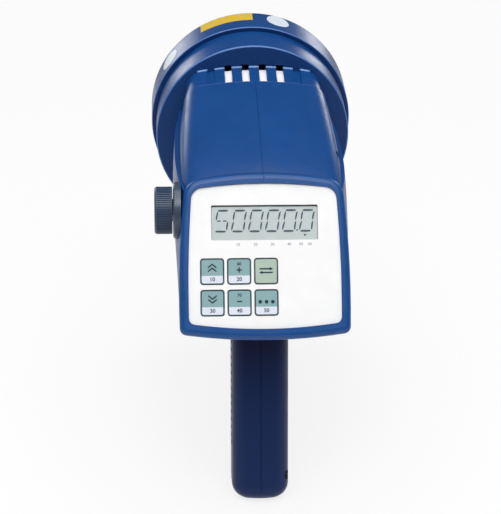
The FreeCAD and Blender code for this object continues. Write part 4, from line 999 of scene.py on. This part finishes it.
@dataclass
class Key:
    """One key's printed face."""

    name: str
    middle: Point2
    sign: KeySign
    number: str
    caption: str = ""
    width: float = 12.15
    length: float = 13.5
    corner: float = 1.3
    top_depth: float = 0.75
    line: float = 0.3
    gap: float = 0.1
    band: float = 4.1
    field_corner: float = 1.0
    number_size: float = 2.1
    caption_size: float = 1.7
    caption_level: float = 4.0
    bold: float = 0.07

    def build(self, maker: Maker, panel: Panel) -> None:
        """Print the key: outline, upper field, lower band, sign and number.

        Args:
            maker: the maker that files the pieces.
            panel: the panel's plane.
        """
        place = panel.matrix(self.middle[0] * MM, self.middle[1] * MM, self.top_depth * MM)
        self.build_outline(maker, place)
        self.build_fields(maker, place)
        self.build_sign(maker, place)

    def build_outline(self, maker: Maker, place: Matrix) -> None:
        """Print the dark line round the face."""
        mesh = bmesh.new()
        outer = rounded_loop((self.width - 0.04) * MM, (self.length - 0.04) * MM, self.corner * MM)
        inner = rounded_loop((self.width - 2 * self.line) * MM, (self.length - 2 * self.line) * MM,
                             (self.corner - 0.2) * MM)
        add_ring(mesh, outer, inner, -INK_SINK, INK_HEIGHT, place)
        maker.finish(self.name + "_outline", mesh, "ink_navy", self.slot(), self.name)

    def slot(self) -> str:
        """Return the record's slot for this key."""
        return "key_green" if self.sign is KeySign.SWAP else "key_teal"

    def build_fields(self, maker: Maker, place: Matrix) -> None:
        """Print the coloured field and the pale band under it."""
        inner_width = self.width - 2 * (self.line + self.gap)
        inner_length = self.length - 2 * (self.line + self.gap)
        edge = rounded_loop(inner_width * MM, inner_length * MM, self.field_corner * MM)
        split = -inner_length / 2 + self.band
        parts = [("field", edge, "ink_green")]
        if self.sign is not KeySign.SWAP:
            half = inner_width / 2
            upper = [(u, max(v, split * MM)) for u, v in edge if v > 0]
            lower = [(u, v) for u, v in edge if v < 0]
            parts = [("field", upper + metres([(-half, split), (half, split)]), "ink_teal"),
                     ("band", lower + metres([(half, split), (-half, split)]), "ink_pale")]
        for part, loop, finish in parts:
            maker.lay(f"{self.name}_{part}", [loop], place, finish, self.slot(), self.name)

    def build_sign(self, maker: Maker, place: Matrix) -> None:
        """Print the sign on the field and the number on the band."""
        mesh = bmesh.new()
        low, high = INK_HEIGHT - INK_SINK, INK_HEIGHT + INK_HEIGHT
        for loop in self.sign_loops():
            add_prism(mesh, metres(loop), low, high, place)
        drop = -self.length / 2 + self.line + self.gap + self.band / 2
        for words, height, size in ((self.number, drop, self.number_size),
                                    (self.caption, self.caption_level, self.caption_size)):
            if words:
                spot = place @ Matrix.Translation((0, height * MM, INK_HEIGHT))
                text_mesh(mesh, words, size * MM, spot, self.bold * MM)
        maker.finish(self.name + "_sign", mesh, "ink_navy", self.slot(), self.name)

    def sign_loops(self) -> list[Loop]:
        """Return the outlines of the sign, in millimetres from the key's middle."""
        if self.sign is KeySign.PLUS:
            arm, half = 1.45, 0.36
            corners = [(-arm, -half), (-half, -half), (-half, -arm),
                       (half, -arm), (half, -half), (arm, -half)]
            return [shifted(corners + [(-u, -v) for u, v in corners], 0, 0.75)]
        if self.sign is KeySign.MINUS:
            return [shifted([(-1.4, -0.36), (1.4, -0.36), (1.4, 0.36), (-1.4, 0.36)], 0, 0.75)]
        if self.sign in (KeySign.UP, KeySign.DOWN):
            flip = 1 if self.sign is KeySign.UP else -1
            shape = [(-2.3, -0.85), (0.0, 0.95), (2.3, -0.85), (2.3, 0.1), (0.0, 1.9), (-2.3, 0.1)]
            return [[(u, 2.0 + flip * (v + rise - 0.35)) for u, v in shape] for rise in (-1.2, 0.85)]
        if self.sign is KeySign.SWAP:
            right = [(-3.6, 0.35), (2.0, 0.35), (2.0, -0.2), (3.8, 0.75),
                     (2.0, 1.7), (2.0, 1.15), (-3.6, 1.15)]
            return [shifted(right, 0, 0.5), shifted([(-u, -v) for u, v in right], 0, 0.0)]
        return [shifted(rounded_loop(2.0, 2.0, 0.95), u, 0.4) for u in (-3.4, 0.0, 3.4)]


@dataclass
class KeyPad:
    """The six keys in two rows of three."""

    maker: Maker
    panel: Panel
    columns: tuple[float, float, float] = (-28.52, -13.95, 0.62)
    rows: Point2 = (-23.8, -40.8)
    hole: Point2 = (12.75, 14.1)
    hole_corner: float = 1.6
    ring: float = 0.2

    def build(self) -> None:
        """Print all six keys and the dark lines round their holes."""
        layout = ((("key_double", KeySign.UP, "10", ""), ("key_phase_up", KeySign.PLUS, "20", "60"),
                   ("key_alternate", KeySign.SWAP, "", "")),
                  (("key_halve", KeySign.DOWN, "30", ""), ("key_phase_down", KeySign.MINUS, "40", "70"),
                   ("key_preset", KeySign.DOTS, "50", "")))
        rings = bmesh.new()
        for row, names in zip(self.rows, layout):
            for column, (name, sign, number, caption) in zip(self.columns, names):
                Key(name, (column, row), sign, number, caption).build(self.maker, self.panel)
                self.add_hole_line(rings, (column, row))
        self.maker.finish("key_hole_lines", rings, "ink_navy", "overlay_white", SHELL)

    def add_hole_line(self, mesh: Mesh, middle: Point2) -> None:
        """Add the dark line that is printed on the face sheet round one key's hole."""
        width, height = self.hole
        inner = rounded_loop((width + 0.04) * MM, (height + 0.04) * MM, self.hole_corner * MM)
        outer = rounded_loop((width + 2 * self.ring) * MM, (height + 2 * self.ring) * MM,
                             (self.hole_corner + self.ring) * MM)
        place = self.panel.matrix(middle[0] * MM, middle[1] * MM, FACE_DEPTH)
        add_ring(mesh, outer, inner, -INK_SINK, INK_HEIGHT, place)


@dataclass
class Head:
    """What is added to the lamp head: blank stickers on the bezel, and trim round the vents, partly in
    paler blue as painted highlights.
    """

    maker: Maker
    axis_height: float = 168 * MM
    bezel_radius: float = 61.1 * MM
    sticker_thickness: float = 0.05 * MM
    # First and last Y of the long sticker, and angle and Y of the middle of each oval one.
    long_sticker: Point2 = (165.4 * MM, 176.6 * MM)
    right_sticker: Point2 = (74.2, 169.0)
    left_sticker: Point2 = (144.5, 165.6)
    neck_front: float = 129.1 * MM
    neck_top: float = 212.9 * MM
    neck_crown: float = 189.3 * MM
    neck_back: float = 111.1 * MM
    vent_pitch: float = 10.2 * MM
    vent_width: float = 4.4 * MM
    lip_width: float = 6.2 * MM
    notch_top: float = 216.0 * MM
    notch_crown: float = 190.0 * MM
    notch_length: float = 1.2 * MM
    whole_fill: float = 9.0 * MM
    part_fill: float = 1.3 * MM
    line_reach: int = 19
    line_step: float = 2.0

    # Places along a lip as shares of its width, and how large its rounded ends are.
    LIP_SHARES = (-0.5, -0.47, -0.25, 0.0, 0.25, 0.47, 0.5)
    LIP_END = 0.55
    LIP_SECTION = ((0.0, -0.1), (0.0, 0.85), (-0.3, 0.8), (-0.7, 0.62), (-0.95, 0.3), (-1.0, -0.1))
    LINE_SECTION = ((-0.5, -0.2), (-0.5, 0.03), (-0.35, 0.08), (-0.1, 0.08), (0.05, 0.03), (0.05, -0.2))

    def build(self) -> None:
        """Build the stickers, the lips, the notch fillers and the line at the back of the neck's band."""
        yellow = [(angle, *self.long_sticker) for angle in range(89, 121)]
        self.build_sticker("sticker_long", yellow, "sticker_yellow")
        self.build_sticker("sticker_right", self.oval(*self.right_sticker), "sticker_white")
        self.build_sticker("sticker_left", self.oval(*self.left_sticker), "sticker_white")
        self.build_lips()
        self.build_fillers()
        self.build_band_line()

    def oval(self, middle: float, middle_y: float, reach: float = 6.6, half_length: float = 8.2,
             steps: int = 24) -> list[Place]:
        """Return the columns of an oval sticker.

        Args:
            middle: its angle round the bezel, in degrees.
            middle_y: its place along the lamp's axis, in millimetres.
            reach: half its width, in degrees.
            half_length: half its length along the axis, in millimetres.
            steps: how many columns it has.

        Returns:
            The angle, first Y and last Y of each column.
        """
        columns = []
        for step in range(steps + 1):
            turn = math.pi * (0.02 + 0.96 * step / steps)
            half = half_length * math.sin(turn)
            angle = middle - reach * math.cos(turn)
            columns.append((angle, (middle_y - half) * MM, (middle_y + half) * MM))
        return columns

    def build_sticker(self, name: str, columns: list[Place], finish: str) -> None:
        """Lay one blank sticker on the bezel."""
        mesh = bmesh.new()
        add_curved_plate(mesh, columns, self.axis_height, self.bezel_radius - INK_SINK,
                         self.bezel_radius + self.sticker_thickness)
        self.maker.finish(name, mesh, finish, "head_blue", SHELL)

    def build_lips(self) -> None:
        """Run a small rounded lip along the joint of neck and lamp housing, between the vents, in a paler
        blue that paints a highlight on it.
        """
        mesh = bmesh.new()
        for place in range(-3, 4):
            middle = place * self.vent_pitch
            rows = []
            for share in self.LIP_SHARES:
                x = middle + share * self.lip_width
                top = self.neck_top - x * x / (2 * self.neck_crown)
                size = self.LIP_END if abs(share) == 0.5 else 1.0
                rows.append([mesh.verts.new((x, self.neck_front + size * y * MM, top + size * z * MM))
                             for y, z in self.LIP_SECTION])
            add_skin(mesh, rows)
        self.maker.finish("vent_lips", mesh, "lip_highlight_blue", "head_blue", SHELL, smooth=True)

    @staticmethod
    def surface_height(x: float, y: float) -> float:
        """Return how high the stroboscope stands at a place, looking straight down."""
        graph = bpy.context.evaluated_depsgraph_get()
        found = bpy.context.scene.ray_cast(graph, Vector((x, y, 0.5)), Vector((0, 0, -1)))
        return found[1].z

    def build_band_line(self) -> None:
        """Run the thin raised line across the neck where its vented band begins, in a paler blue that
        paints a highlight on it.
        """
        mesh = bmesh.new()
        rows = []
        for step in range(-self.line_reach, self.line_reach + 1):
            x = (step * self.line_step + 0.01) * MM
            top = self.surface_height(x, self.neck_back - 0.3 * MM)
            rows.append([mesh.verts.new((x, self.neck_back + y * MM, top + z * MM))
                         for y, z in self.LINE_SECTION])
        add_skin(mesh, rows)
        self.maker.finish("band_line", mesh, "line_highlight_blue", "head_blue", SHELL, smooth=True)

    def build_fillers(self) -> None:
        """Fill the outer two notches of the back wall, and the upper part of the other four."""
        mesh = bmesh.new()
        half = self.vent_width / 2 - 0.01 * MM
        for place in range(6):
            middle = (place - 2.5) * self.vent_pitch
            top = self.notch_top - middle * middle / (2 * self.notch_crown) - 0.01 * MM
            depth = self.whole_fill if place in (0, 5) else self.part_fill
            loop = [(-half, -depth), (half, -depth), (half, 0.0), (-half, 0.0)]
            corner = Matrix.Translation((middle, self.neck_front, top))
            upright = corner @ Matrix.Rotation(math.pi / 2, 4, "X")
            add_prism(mesh, loop, -self.notch_length, 0.0, upright)
        self.maker.finish("notch_fillers", mesh, "head_blue", "head_blue", SHELL)


@dataclass
class Springs:
    """The two hidden springs, which are stood in for by copies of the CAD ones."""

    palette: Palette
    nodes: dict[str, Thing]
    rake: float = math.radians(18)
    trigger_end: Place = (0, 3.2, 80.5)
    trigger_keep: float = 0.42
    lock_end: Place = (3, 0, 110)
    lock_keep: float = 0.28

    def build(self) -> None:
        """Build both springs."""
        along = (0.0, math.cos(self.rake), -math.sin(self.rake))
        for name, joint, axis, end, keep in (
                ("trigger_spring", "trigger_pull", along, self.trigger_end, self.trigger_keep),
                ("lock_spring", "lock_push", (1.0, 0.0, 0.0), self.lock_end, self.lock_keep)):
            self.add(name, joint, axis, self.handle_point(*end), keep)

    def handle_point(self, x: float, y: float, z: float) -> Place:
        """Return the place of a point of the raked handle, given in millimetres."""
        return (x * MM, (y * math.cos(self.rake) + z * math.sin(self.rake)) * MM,
                (z * math.cos(self.rake) - y * math.sin(self.rake)) * MM)

    def add(self, name: str, joint: str, axis: Place, fixed_end: Place, keep: float) -> None:
        """Stand a spring in for the CAD one.

        Args:
            name: the CAD spring.
            joint: the joint that presses it.
            axis: its axis; not used.
            fixed_end: the place of its fixed end; not used.
            keep: the share of its length that is left when it is pressed fully; not used.
        """
        node = self.nodes[name]
        thing = bpy.data.objects.new(name + "_coil", node.data.copy())
        thing.matrix_world = node.matrix_world
        bpy.context.scene.collection.objects.link(thing)
        self.palette.dress(thing, "spring_steel")
        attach(thing, SHELL)
        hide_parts(name)
        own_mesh(thing)
        LOG.info("%s_coil: shortens with %s", name, joint)


@dataclass
class CadFinishes:
    """Gives every CAD node that stays in view its finish."""

    palette: Palette
    nodes: dict[str, Thing]
    slots: dict[str, str]

    OWN = {"front_bezel": "bezel_blue", "housing_screws": "screw_dark"}

    def dress(self) -> None:
        """Dress each node by its slot, or by its own finish where it has one."""
        for name, thing in self.nodes.items():
            finish = self.OWN.get(name, self.slots[name])
            self.palette.dress(thing, finish)
            LOG.info("%s: finish %s", name, finish)


def slot_of_nodes(nodes: dict[str, Thing]) -> dict[str, str]:
    """Read each node's slot from the material that it was packed with.

    Args:
        nodes: the CAD nodes.

    Returns:
        The slot's name for each node's name.
    """
    return {name: thing.data.materials[0].name.split(".")[0] for name, thing in nodes.items()}


def main() -> None:
    logging.basicConfig(level=logging.INFO, format="%(message)s")
    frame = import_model()
    scene = bpy.context.scene
    scene.view_settings.view_transform = "Standard"
    slots = slot_of_nodes(frame["nodes"])
    palette = Palette()
    maker = Maker(palette)
    panel = Panel()
    Studio().build()
    CadFinishes(palette, frame["nodes"], slots).dress()
    Display(maker, panel).build()
    KeyPad(maker, panel).build()
    Head(maker).build()
    Springs(palette, frame["nodes"]).build()


if __name__ == "__main__":
    main()
